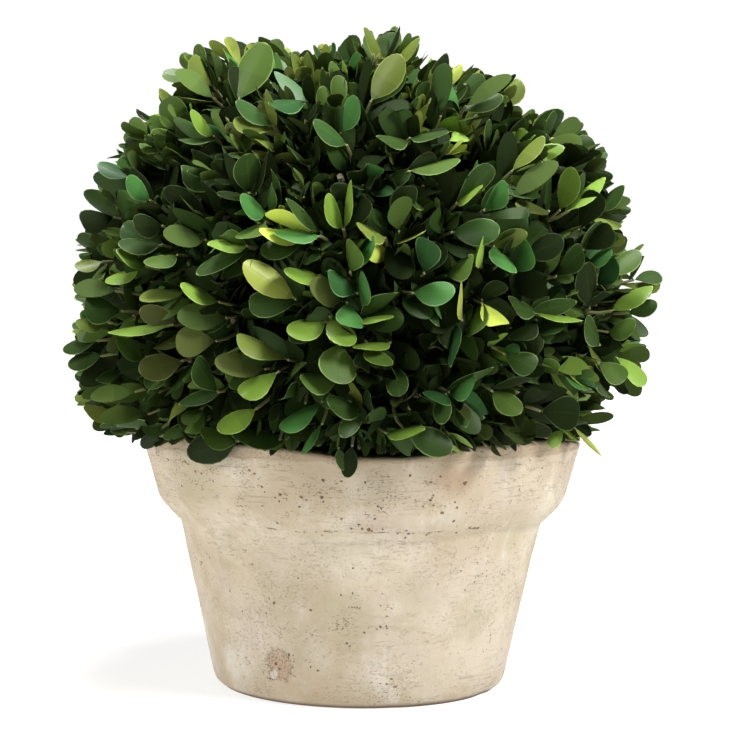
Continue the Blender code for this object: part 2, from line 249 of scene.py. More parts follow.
class Value:
    """What a shader node gives, with the arithmetic that the finishes are written in."""

    def __init__(self, socket: bpy.types.NodeSocket) -> None:
        """Keeps the node's output."""
        self.socket = socket

    def node(self, kind: str, feeds: dict[object, Source], output: object = 0, **settings: object) -> "Value":
        """Adds a node to this value's tree.

        Args:
            kind: the node's type.
            feeds: what each input, by name or index, is set or linked to.
            output: which of its outputs is wanted, by name or index.
            **settings: the node's own settings.

        Returns:
            What the new node gives.
        """
        made = self.socket.id_data.nodes.new(kind)
        for name, value in settings.items():
            setattr(made, name, value)
        feed(made, feeds)
        return Value(made.outputs[output])

    def math(self, operation: str, first: Source, second: Source = 0.0) -> "Value":
        """One step of arithmetic."""
        return self.node("ShaderNodeMath", {0: first, 1: second}, operation=operation)

    def __add__(self, other: Source) -> "Value":
        """Both values added."""
        return self.math("ADD", self, other)

    def __sub__(self, other: Source) -> "Value":
        """The other value taken from this one."""
        return self.math("SUBTRACT", self, other)

    def __rsub__(self, other: Source) -> "Value":
        """This value taken from the other."""
        return self.math("SUBTRACT", other, self)

    def __mul__(self, other: Source) -> "Value":
        """Both values multiplied."""
        return self.math("MULTIPLY", self, other)

    def ramp(self, low: Source, high: Source, start: Source = 0.0, end: Source = 1.0) -> "Value":
        """This value mapped smoothly from the range low to high onto start to end, and held there."""
        feeds = {"Value": self, "From Min": low, "From Max": high, "To Min": start, "To Max": end}
        return self.node("ShaderNodeMapRange", feeds, interpolation_type="SMOOTHSTEP")

    def mix(self, first: Source, second: Source) -> "Value":
        """A colour between two: the first where this value is 0, the second where it is 1."""
        return self.node("ShaderNodeMix", {0: self, 6: first, 7: second}, 2, data_type="RGBA")

    def vector(self, operation: str, other: Source = ORIGIN, output: str = "Vector") -> "Value":
        """One step of arithmetic on vectors."""
        return self.node("ShaderNodeVectorMath", {0: self, 1: other}, output, operation=operation)

    def far_from(self, spot: Source) -> "Value":
        """How far this place is from a spot."""
        return self.vector("DISTANCE", spot, "Value")

    def stretched(self, *scale: float) -> "Value":
        """This place scaled apart on each axis."""
        return self.node("ShaderNodeMapping", {"Vector": self, "Scale": scale})

    def parts(self) -> list["Value"]:
        """The X, Y and Z of this place."""
        apart = self.node("ShaderNodeSeparateXYZ", {0: self}).socket.node.outputs
        return [Value(socket) for socket in apart]

    def noise(self, scale: Source, detail: float = 4.0, rough: float = 0.55, output: str = "Fac") -> "Value":
        """Soft noise between 0 and 1 at this place, most of it between 0.3 and 0.7."""
        feeds = {"Vector": self, "Scale": scale, "Detail": detail, "Roughness": rough}
        return self.node("ShaderNodeTexNoise", feeds, output)

    def bump(self, depth: float) -> "Value":
        """A normal bent by this height, where a height of 1 stands this far out of the surface."""
        return self.node("ShaderNodeBump", {"Height": self, "Distance": depth, "Strength": 1.0})


def feed(node: bpy.types.Node, feeds: dict[object, Source]) -> None:
    """Links a node's inputs to values, or sets them.

    Args:
        node: the node.
        feeds: what each input, by name or index, is set or linked to.
    """
    for name, value in feeds.items():
        socket = node.inputs[name]
        if isinstance(value, Value):
            node.id_data.links.new(value.socket, socket)
        elif socket.type == "RGBA":
            socket.default_value = (*value, 1.0)
        else:
            socket.default_value = value


def greatest(values: Iterable[Value], least: Source) -> Value:
    """The greatest of several values and a source that they start from."""
    for value in values:
        least = value.math("MAXIMUM", least, value)
    return least


class Effects:
    """The shader effects that several finishes share, each built once as a node group."""

    def __init__(self) -> None:
        """Builds every group."""
        takes = {"Scale": 400.0, "Size": 0.16, "Patch Scale": 60.0, "Patch From": 0.5}
        self._pits = self._group("open_pits", takes, "Mask", self._draw_pits)
        takes = {"Scale": 20.0, "Grain Scale": 600.0, "Grain Share": 0.25}
        self._drift = self._group("tone_drift", takes, "Tone", self._draw_drift)

    def _group(
        self, name: str, takes: dict[str, float], gives: str, draw: Callable[..., Value]
    ) -> bpy.types.NodeTree:
        """A shader node group with a Vector input and one output.

        Args:
            name: the group's name.
            takes: each further input's name, with its default value.
            gives: the output's name.
            draw: takes what each input gives, and gives the output.

        Returns:
            The group's tree.
        """
        tree = bpy.data.node_groups.new(name, "ShaderNodeTree")
        tree.interface.new_socket("Vector", in_out="INPUT", socket_type="NodeSocketVector")
        for label, value in takes.items():
            socket = tree.interface.new_socket(label, in_out="INPUT", socket_type="NodeSocketFloat")
            socket.default_value = value
        tree.interface.new_socket(gives, in_out="OUTPUT", socket_type="NodeSocketFloat")
        given = tree.nodes.new("NodeGroupInput").outputs
        drawn = draw(*(Value(given[label]) for label in ("Vector", *takes)))
        feed(tree.nodes.new("NodeGroupOutput"), {gives: drawn})
        return tree

    def _draw_pits(self, place: Value, scale: Value, size: Value, patch_scale: Value, start: Value) -> Value:
        """Small open pits that gather in patches: a mask, 1 in a pit."""
        feeds = {"Vector": place, "Scale": scale, "Randomness": 1.0}
        away = place.node("ShaderNodeTexVoronoi", feeds, "Distance")
        patch = place.noise(patch_scale, 3.0, 0.6).ramp(start, start + 0.16)
        size = size * patch
        return away.ramp(size, size + 0.06, 1.0, 0.0) * patch.ramp(0.05, 0.35)

    def _draw_drift(self, place: Value, scale: Value, grain_scale: Value, grain_share: Value) -> Value:
        """Soft clouds and finer grain in one value, for the slow change of tone over a surface."""
        slow = place.noise(scale, 5.0, 0.6).ramp(0.3, 0.7)
        fine = place.noise(grain_scale, 3.0, 0.7)
        return place.node("ShaderNodeMix", {0: grain_share, 2: slow, 3: fine}, data_type="FLOAT")

    def pits(self, place: Value, scale: float, size: float, patch_scale: float, patch_from: Source) -> Value:
        """The open pits at a place: a mask."""
        feeds = {"Vector": place, "Scale": scale, "Size": size}
        feeds |= {"Patch Scale": patch_scale, "Patch From": patch_from}
        return place.node("ShaderNodeGroup", feeds, "Mask", node_tree=self._pits)

    def drift(self, place: Value, scale: float, grain_scale: float, grain_share: float) -> Value:
        """The drift of tone at a place."""
        feeds = {"Vector": place, "Scale": scale, "Grain Scale": grain_scale, "Grain Share": grain_share}
        return place.node("ShaderNodeGroup", feeds, "Tone", node_tree=self._drift)


def new_material(name: str) -> tuple[bpy.types.Material, bpy.types.Node]:
    """A new material, and its Principled BSDF."""
    material = bpy.data.materials.new(name)
    material.use_nodes = True
    return material, material.node_tree.nodes["Principled BSDF"]


def object_place(shader: bpy.types.Node) -> Value:
    """The Object coordinates in a shader's tree."""
    return Value(shader.id_data.nodes.new("ShaderNodeTexCoord").outputs["Object"])


def blended(first: Colour, second: Colour, share: float) -> Colour:
    """The colour at this share of the way from the first to the second."""
    return tuple(a + (b - a) * share for a, b in zip(first, second))


# --- Finishes -----------------------------------------------------------------------------------------

# The clay's larger open pits and the fine cracks of its worn places, each as degrees round the pot from its
# front, height in millimetres and radius in millimetres.
CLAY_PITS = (
    (-25.9, 99, 0.38), (-25.2, 96.9, 0.3), (-20.9, 96.1, 0.51), (-22.3, 94.7, 0.3), (-21.4, 93.2, 0.3),
    (-15.3, 95.5, 0.51), (-13.9, 94.4, 0.38), (-9.8, 95.8, 0.46), (-9.5, 94, 0.36), (-15.8, 91.3, 0.42),
    (-9.4, 103.4, 0.48), (-4.9, 103.1, 0.34), (1, 102.7, 0.42), (-26.5, 90.7, 0.32), (-59.9, 106.4, 0.4),
    (-55.6, 95.4, 0.4), (-41.3, 99.6, 0.32), (-23.2, 83.3, 0.43), (-5, 86.6, 0.38), (-0.5, 84.2, 0.38),
    (-2.5, 82.2, 0.38), (0.4, 82.2, 0.36), (2.2, 81.8, 0.64), (3, 81.2, 0.42), (-10.8, 78.5, 0.32),
    (-37.6, 68.8, 0.31), (-57.8, 64.1, 0.31), (-56.7, 62.3, 0.31), (-2.2, 64.1, 0.3), (-19.5, 58.6, 0.35),
    (-47.9, 49.1, 0.36), (-30.7, 48.2, 0.33), (-28.9, 46.5, 0.5), (-32.5, 41.5, 0.33), (-43.3, 40.5, 0.31),
    (-6, 52.1, 0.43), (-2.2, 52.7, 0.3), (-16, 44.6, 0.43), (12, 105.7, 0.42), (19.9, 105, 0.38),
    (17.6, 102.6, 0.34), (27, 101.7, 0.64), (18.5, 96.9, 0.38), (18.2, 95.8, 0.32), (17.8, 94.8, 0.42),
    (4.3, 92.4, 0.42), (5.2, 91.5, 0.38), (3.7, 86.8, 0.32), (16, 92.3, 0.34), (18.9, 92.5, 0.34),
    (24.8, 93.5, 0.32), (25.7, 91, 0.38), (21.7, 89.1, 0.57), (25.7, 85.1, 0.47), (32.2, 81.2, 0.52),
    (34, 80.8, 0.32), (35.5, 80.7, 0.41), (6, 81.9, 0.36), (12.6, 81.3, 0.36), (13.4, 79.8, 0.41),
    (12.8, 77.9, 0.41), (10.4, 79.9, 0.3), (14.7, 79.8, 0.3), (18.8, 79.1, 0.36), (19.5, 79.7, 0.32),
    (28.3, 79.2, 0.3), (72.7, 84.9, 0.54), (53.7, 105.7, 0.33), (45.9, 97, 0.3), (33.2, 61.3, 0.33),
    (55.9, 59, 0.34), (44.5, 57.7, 0.31), (36, 52.4, 0.33), (7.1, 52.8, 0.3), (6.8, 47.4, 0.3),
    (7, 37.9, 0.43), (9, 38.1, 0.41), (5.7, 36.8, 0.33), (1.7, 35.3, 0.37), (-4.1, 30.4, 0.41),
    (-3.1, 29.1, 0.31), (-17.1, 18.7, 0.37), (-14.7, 17.4, 0.5), (-25.4, 23.6, 0.57), (-31.2, 18.6, 0.53),
    (-29.9, 16.4, 0.51), (14.7, 6.6, 0.31),
)
CLAY_CRACKS = (
    (-35.5, 11.6, 0.32), (-34.5, 11.4, 0.36), (-33.4, 11.2, 0.39), (-32.4, 11.3, 0.36), (-31.4, 11.7, 0.30),
    (-27.2, 15.8, 0.30), (-26.2, 15.2, 0.32), (-25.2, 14.6, 0.32), (-24.3, 14, 0.30), (-23.4, 13.7, 0.27),
    (-23.5, 23.3, 0.30), (-23.4, 21.9, 0.30), (-23.6, 20.6, 0.30), (-23.9, 19.2, 0.30), (-24.2, 17.8, 0.30),
    (-25.8, 21.9, 0.32), (-26.5, 20.5, 0.32), (-27.4, 19.4, 0.32), (-28.4, 20.2, 0.32), (-27.6, 22.1, 0.30),
    (-29.4, 20.5, 0.36), (-32.7, 19.8, 0.30), (-33.9, 20.8, 0.30), (-34.9, 19.3, 0.30), (-35.6, 17.6, 0.30),
    (-35.1, 16.1, 0.27), (-32.4, 21.5, 0.27), (-30.7, 21.5, 0.27), (-29, 18.1, 0.39), (-27.8, 17.1, 0.30),
    (-2.4, 46.6, 0.26), (-1.6, 46.6, 0.26), (-0.8, 46.6, 0.30), (-0, 46.3, 0.35), (-3.2, 46.5, 0.23),
)
# The clay's stains and thin places in its wash: degrees round, height and radius in millimetres, strength
# and tone. The two lighter wash clouds low on the left, at -52 and -78 degrees, are painted light from the
# floor.
CLAY_CLOUDS = (
    (-26.0, 48.0, 24.0, 0.50, "moss"), (-5.0, 42.0, 25.0, 0.55, "moss"), (17.0, 52.0, 17.0, 0.36, "moss"),
    (42.0, 37.0, 17.0, 0.40, "moss"), (-22.0, 24.0, 18.0, 0.40, "moss"), (54.0, 74.0, 18.0, 0.42, "moss"),
    (-48.0, 98.0, 25.0, 0.62, "moss"), (24.0, 104.0, 15.0, 0.55, "rust"), (2.0, 84.0, 12.0, 0.20, "rust"),
    (25.0, 87.0, 13.0, 0.32, "wash"), (-15.0, 25.0, 15.0, 0.22, "wash"), (27.0, 42.0, 15.0, 0.12, "wash"),
    (0.0, 101.0, 14.0, 0.25, "wash"), (-52.0, 14.0, 22.0, 0.62, "wash"), (-4.0, 70.0, 24.0, 0.15, "wash"),
    (-46.0, 78.0, 18.0, 0.15, "wash"), (-78.0, 18.0, 24.0, 0.62, "wash"),
)


@dataclass(frozen=True)
class ClayFinish:
    """Low-fired clay under a worn lime wash, pitted and stained, with painted light and shade in places."""

    body: Colour = (0.515, 0.430, 0.308)
    cream: Colour = (0.640, 0.562, 0.440)
    wash: Colour = (0.755, 0.722, 0.638)
    blush: Colour = (0.600, 0.508, 0.432)
    moss: Colour = (0.430, 0.375, 0.245)
    pit: Colour = (0.135, 0.068, 0.036)
    stain: Colour = (0.340, 0.250, 0.155)
    scar: Colour = (0.400, 0.245, 0.170)
    # Painted contact shadow: the colour of the dark line along the very foot, where the pot meets the floor.
    foot: Colour = (0.130, 0.080, 0.048)
    # The scar, the flake in it and the chip: degrees round, height and radius in millimetres, and where
    # each frays.
    worn: tuple[tuple[float, float, float, float], ...] = (
        (-29.5, 18.6, 13.5, 0.78),
        (-32.5, 13.2, 5.0, 0.84),
        (12.8, 6.0, 8.0, 0.72),
    )
    # The fine pits' scale and size, the scale of their patches, where those start, and how dark they are.
    pitting: tuple[tuple[float, float, float, float, float], ...] = (
        (360.0, 0.26, 52.0, 0.60, 0.85),
        (700.0, 0.28, 70.0, 0.56, 0.65),
    )
    band_from: float = 0.0900
    seam: float = 0.0806
    lip: float = 0.1116
    about: float = 0.0800  # metres along the laid-out surface for each radian round

    def material(self, effects: Effects) -> bpy.types.Material:
        """The finish as a material, with the shared node groups in it."""
        material, shader = new_material("aged_clay")
        place = object_place(shader)
        across, _, height = place.parts()
        band = height.ramp(self.band_from - 0.006, self.band_from + 0.004)
        warp = place.noise(1300.0, 2.0, 0.5, "Color").vector("SUBTRACT", (0.5, 0.5, 0.5))
        warp = warp.vector("MULTIPLY", (0.0017, 0.0, 0.0014))
        flat = self._unrolled(place)
        torn = flat.vector("ADD", warp)

        tone = effects.drift(place, 22.0, 420.0, 0.40)
        colour = tone.ramp(0.20, 0.80).mix(self.body, self.cream)
        colour = (place.noise(34.0, 3.0, 0.55).ramp(0.48, 0.66) * 0.45).mix(colour, self.blush)
        moss = place.stretched(46.0, 46.0, 80.0).noise(1.0, 5.0, 0.7).ramp(0.52, 0.66)
        colour = (moss * 0.40).mix(colour, self.moss)
        # The rim band darker and browner: partly its own tone, partly painted shade from the leaves above.
        colour = (band * 0.36).mix(colour, blended(self.body, self.stain, 0.30))
        runs = place.stretched(110.0, 110.0, 16.0).noise(1.0, 4.0, 0.6).ramp(0.46, 0.68)
        # The wash grows whiter toward the right side of the pot: painted light, where light falls from the
        # right.
        wash = runs * place.noise(40.0, 4.0, 0.6).ramp(0.46, 0.64) + across.ramp(0.010, 0.080, 0.0, 0.20)
        colour = (wash * 0.45).mix(colour, self.wash)
        colour = self._clouded(flat, colour)

        brushed = place.stretched(90.0, 90.0, 800.0).noise(1.0, 4.0, 0.7).ramp(0.54, 0.68)
        drag = brushed * (band * 0.08 + place.noise(45.0, 3.0, 0.6)).ramp(0.46, 0.62)
        colour = (drag * 0.17).mix(colour, self.stain)
        specks = place.stretched(700.0, 700.0, 1100.0).noise(1.0, 3.0, 0.75).ramp(0.54, 0.68)
        specks = specks * place.noise(55.0, 4.0, 0.65).ramp(0.40, 0.58)
        colour = (specks * 0.28).mix(colour, self.stain)

        pits = greatest([self._seam(torn, height)], self._spots(torn, CLAY_PITS))
        long_pits = place.stretched(0.8, 0.8, 1.4)
        for scale, size, patches, start, share in self.pitting:
            found = effects.pits(long_pits, scale, size, patches, start - band * 0.03)
            pits = greatest([found * share], pits)
        ragged = place.vector("ADD", warp).stretched(0.7, 0.7, 1.3)
        dots = effects.pits(ragged, 820.0, 0.32, 120.0, 0.53 - band * 0.05)
        colour = (dots * 0.50).mix(colour, blended(self.pit, self.stain, 0.35))
        scar, colour = self._worn(flat, torn, colour)
        colour = (pits * 0.80).mix(colour, self.pit)

        colour = (height.ramp(0.002, 0.016, 1.0, 0.0) * 0.22).mix(colour, self.stain)
        # Painted contact shadow along the bottom edge.
        colour = (height.ramp(0.0002, 0.0028, 1.0, 0.0) * 0.95).mix(colour, self.foot)
        # Browner along the top edge of the lip.
        ragged_height = height + (place.noise(90.0, 3.0) - 0.5) * 0.0022
        colour = (ragged_height.ramp(self.lip - 0.0012, self.lip) * 0.50).mix(colour, self.stain)

        relief = place.noise(620.0, 5.0, 0.7) * 0.45 + wash * 0.25
        for mask, depth in ((pits, 1.0), (drag, 0.30), (specks, 0.30), (scar, 0.5)):
            relief = relief - mask * depth
        feed(shader, {"Base Color": colour, "Roughness": tone.ramp(0.0, 1.0, 0.82, 0.95)})
        feed(shader, {"Specular IOR Level": 0.15, "Normal": relief.bump(0.0006)})
        return material

    def _unrolled(self, place: Value) -> Value:
        """The outside laid flat: the way round from the front along X and the height along Z, in metres."""
        across, deep, height = place.parts()
        turn = place.math("ARCTAN2", across, deep * -1.0)
        return place.node("ShaderNodeCombineXYZ", {"X": turn * self.about, "Z": height})

    def _far_from(self, flat: Value, degrees: float, height: float) -> Value:
        """How far the laid-out surface is from a place this many degrees round and millimetres up."""
        return flat.far_from((math.radians(degrees) * self.about, 0.0, height / 1000.0))

    def _spots(self, flat: Value, spots: Iterable[tuple[float, float, float]]) -> Value:
        """Small round holes at these places: a mask."""
        depths = (1.20 * radius / 1000.0 - self._far_from(flat, *place) for *place, radius in spots)
        return greatest(depths, -1.0).ramp(-0.00008, 0.00016)

    def _clouded(self, flat: Value, colour: Value) -> Value:
        """The colour with soft stains and thin places of the wash, two of which are painted light."""
        frayed = flat.stretched(95.0, 95.0, 70.0).noise(1.0, 6.0, 0.72)
        tones = {"moss": self.moss, "wash": self.wash, "rust": blended(self.scar, self.stain, 0.45)}
        for degrees, height, radius, share, tone in CLAY_CLOUDS:
            away = self._far_from(flat, degrees, height)
            near = away.ramp(0.10 * radius / 1000.0, radius / 1000.0, 0.48, 0.0)
            colour = ((near + frayed).ramp(0.56, 1.04) * share).mix(colour, tones[tone])
        return colour

    def _seam(self, flat: Value, height: Value) -> Value:
        """The broken scratch where the body meets the rim's underside: a mask."""
        off = height - (self.seam + 0.0035) + flat.noise(26.0, 3.0) * 0.0070
        line = off.math("ABSOLUTE", off).ramp(0.0001, 0.00045, 0.85, 0.0)
        broken = flat.stretched(120.0, 1.0, 300.0).noise(1.0, 4.0, 0.7)
        across = flat.parts()[0]
        line = line * across.math("ABSOLUTE", across).ramp(0.046, 0.060, 1.0, 0.2)
        return line * broken.ramp(0.50, 0.58)

    def _worn(self, flat: Value, torn: Value, colour: Value) -> tuple[Value, Value]:
        """The flaked places low on the front: a mask, and the colour with them."""
        frayed = flat.noise(330.0, 5.0, 0.75)
        mottled = flat.noise(700.0, 4.0, 0.75).ramp(0.40, 0.62)
        masks = []
        for *place, radius, edge in self.worn:
            near = self._far_from(flat, *place).ramp(0.10 * radius / 1000.0, radius / 1000.0, 0.60, 0.0)
            masks.append((near + frayed).ramp(edge, edge + 0.16))
        scar, flake, chip = masks
        brown = scar * mottled.math("ADD", 0.15, mottled * 0.70)
        colour = brown.mix(colour, self.scar)
        colour = (flake * 0.65).mix(colour, self.wash)
        colour = (chip * (mottled * 0.80)).mix(colour, self.wash)
        cracks = self._spots(torn, CLAY_CRACKS)
        return greatest([cracks], scar), (cracks * 0.72).mix(colour, self.pit)


@dataclass(frozen=True)
class CrumbFinish:
    """A dark matt mass of crumbs or dead leaves, with patches of green in it."""

    name: str
    dark: Colour
    pale: Colour
    green: Colour
    drift: tuple[float, float, float]
    patches: tuple[float, float]
    rough: float
    lumps: tuple[float, float, float]

    def material(self, effects: Effects) -> bpy.types.Material:
        """The finish as a material."""
        material, shader = new_material(self.name)
        place = object_place(shader)
        colour = effects.drift(place, *self.drift).mix(self.dark, self.pale)
        colour = place.noise(*self.patches, 0.6).ramp(0.50, 0.62).mix(colour, self.green)
        scale, detail, depth = self.lumps
        normal = place.noise(scale, detail, 0.7).bump(depth)
        feed(shader, {"Base Color": colour, "Roughness": self.rough, "Normal": normal})
        return material


EARTH = CrumbFinish(
    "dark_earth", (0.030, 0.020, 0.013), (0.110, 0.072, 0.042), (0.060, 0.075, 0.022),
    (60.0, 500.0, 0.5), (38.0, 4.0), 0.95, (700.0, 5.0, 0.0012),
)
# Painted shade: the near-black mass inside the ball.
SHADE_HEART = CrumbFinish(
    "painted_shade_heart", (0.010, 0.010, 0.006), (0.050, 0.036, 0.018), (0.016, 0.028, 0.008),
    (120.0, 500.0, 0.5), (150.0, 3.0), 0.9, (380.0, 4.0, 0.003),
)


@dataclass(frozen=True)
class BarkFinish:
    """Fissured grey-brown bark, its cracks running up the limb."""

    ridge: Colour = (0.310, 0.240, 0.160)
    crack: Colour = (0.085, 0.055, 0.035)
    lichen: Colour = (0.300, 0.310, 0.200)

    def material(self, effects: Effects) -> bpy.types.Material:
        """The finish as a material."""
        material, shader = new_material("box_bark")
        place = object_place(shader)
        ridges = place.stretched(420.0, 420.0, 70.0).noise(1.0, 5.0, 0.6).ramp(0.40, 0.60)
        tone = effects.drift(place, 90.0, 900.0, 0.3).ramp(0.55, 0.85, 0.0, 0.5)
        colour = tone.mix(ridges.mix(self.crack, self.ridge), self.lichen)
        feed(shader, {"Base Color": colour, "Roughness": 0.88, "Normal": ridges.bump(0.0006)})
        return material


@dataclass(frozen=True)
class PlainFinish:
    """A colour and gloss that are the same all over, for one face of a leaf or one age of twig."""

    name: str
    colour: Colour
    rough: float = 0.5
    coat: float = 0.0
    coat_rough: float = 0.25
    shine: float = 0.5

    def material(self) -> bpy.types.Material:
        """The finish as a material, made once and then shared."""
        if self.name in bpy.data.materials:
            return bpy.data.materials[self.name]
        material, shader = new_material(self.name)
        feeds = {"Base Color": self.colour, "Roughness": self.rough, "Coat Weight": self.coat}
        feed(shader, feeds | {"Coat Roughness": self.coat_rough, "Specular IOR Level": self.shine})
        return material


# The _low and _foot parts are a leaf's blade and underside darkened toward the stalk: painted shade, where
# neighbouring leaves shade its base.
LEAF_PARTS = (
    "blade", "blade_low", "blade_foot", "underside", "underside_low", "underside_foot", "margin", "midrib",
)
# Painted shade: how light each side is kept beyond the stalk, near it and at it.
PAINTED_SHADE_SHARES = (1.0, 0.88, 0.68)  # how light a side is beyond the stalk, near it and at it


def part_of(side: str, along: float) -> int:
    """The slot of a leaf's face on this side, blade or underside, this far along: darker near the stalk, as
    painted shade.
    """
    return LEAF_PARTS.index(f"{side}_foot" if along < 0.20 else f"{side}_low" if along < 0.40 else side)


@dataclass(frozen=True)
class LeafFinish:
    """One tint of leaf: a waxy blade, a paler margin and midrib, and a matt underside. The margin's paleness
    is partly a painted rim highlight, and blade and underside grow darker toward the stalk as painted shade.
    """

    name: str
    blade: Colour
    margin: Colour
    rough: float = 0.40
    coat: float = 0.20
    shine: float = 0.32
    coat_rough: float = 0.25

    def materials(self) -> list[bpy.types.Material]:
        """The materials of a leaf's parts, in the order of LEAF_PARTS."""
        blade = PlainFinish("", self.blade, self.rough, self.coat, self.coat_rough, self.shine)
        back = PlainFinish("", blended(self.blade, (0.150, 0.205, 0.055), 0.25), 0.58, shine=0.4 * self.shine)
        # Lighter and darker copies of the blade and underside; the darker ones are painted shade near the
        # stalk.
        parts = [
            replace(side, colour=tuple(share * value for value in side.colour))
            for side in (blade, back)
            for share in PAINTED_SHADE_SHARES
        ]
        # The margin: paler on its own, and partly a painted rim highlight where leaf edges catch the light.
        parts.append(PlainFinish("", self.margin, 0.50, shine=self.shine))
        parts.append(PlainFinish("", blended(self.blade, self.margin, 0.10), 0.50, shine=0.5 * self.shine))
        return [replace(part, name=f"{self.name}_{name}").material() for part, name in zip(parts, LEAF_PARTS)]


class Tint(Enum):
    """The tints of leaf, dealt out by spray."""

    # Each tint's second colour is its margin's, partly a painted rim highlight.
    NIGHT = LeafFinish("night_green", (0.012, 0.021, 0.005), (0.066, 0.100, 0.032), 0.60, 0.0, 0.05)
    DEEP = LeafFinish("deep_green", (0.029, 0.060, 0.012), (0.150, 0.235, 0.068), 0.48, 0.04, 0.10)
    SPRUCE = LeafFinish("spruce_green", (0.025, 0.078, 0.022), (0.125, 0.250, 0.085), 0.38, 0.06, 0.14)
    FOREST = LeafFinish("forest_green", (0.070, 0.127, 0.022), (0.195, 0.300, 0.075), 0.38, 0.06, 0.17)
    EMERALD = LeafFinish("emerald", (0.052, 0.165, 0.036), (0.160, 0.310, 0.090), 0.38, 0.10, 0.22)
    GLOSSY = LeafFinish("glossy_green", (0.034, 0.084, 0.019), (0.140, 0.225, 0.064), 0.36, 0.45, 0.20, 0.16)
    OLIVE = LeafFinish("olive", (0.135, 0.184, 0.031), (0.280, 0.355, 0.085), 0.42, 0.05, 0.18)
    RUSSET = LeafFinish("russet_olive", (0.068, 0.082, 0.018), (0.170, 0.195, 0.060), 0.48, 0.06, 0.20)
    MEADOW = LeafFinish("meadow_green", (0.158, 0.272, 0.036), (0.320, 0.460, 0.098), 0.38, 0.07, 0.22)
    SPRING = LeafFinish("spring_green", (0.240, 0.420, 0.055), (0.350, 0.500, 0.100), 0.36, 0.20)
    YELLOW = LeafFinish("yellow_green", (0.330, 0.395, 0.070), (0.430, 0.500, 0.115), 0.42, 0.08, 0.20)
    LIME = LeafFinish("lime", (0.540, 0.660, 0.095), (0.600, 0.700, 0.140), 0.40, 0.12)


NIGHT, DEEP, SPRUCE, FOREST, EMERALD, GLOSSY, OLIVE, RUSSET, MEADOW, SPRING, YELLOW, LIME = Tint


# --- The pot and what stands in it --------------------------------------------------------------------

# Where the hand-made rim stands higher: degrees from +X, by how much, and how far round it spreads.
RIM_RISES = ((-127.0, 0.0034, 0.045), (-47.0, 0.0042, 0.042))


def at_turn(azimuth: float, radius: float, height: float = 0.0) -> Vector:
    """The place at this azimuth from +X, in degrees, this far from the Z axis and this high."""
    turn = math.radians(azimuth)
    return Vector((radius * math.cos(turn), radius * math.sin(turn), height))


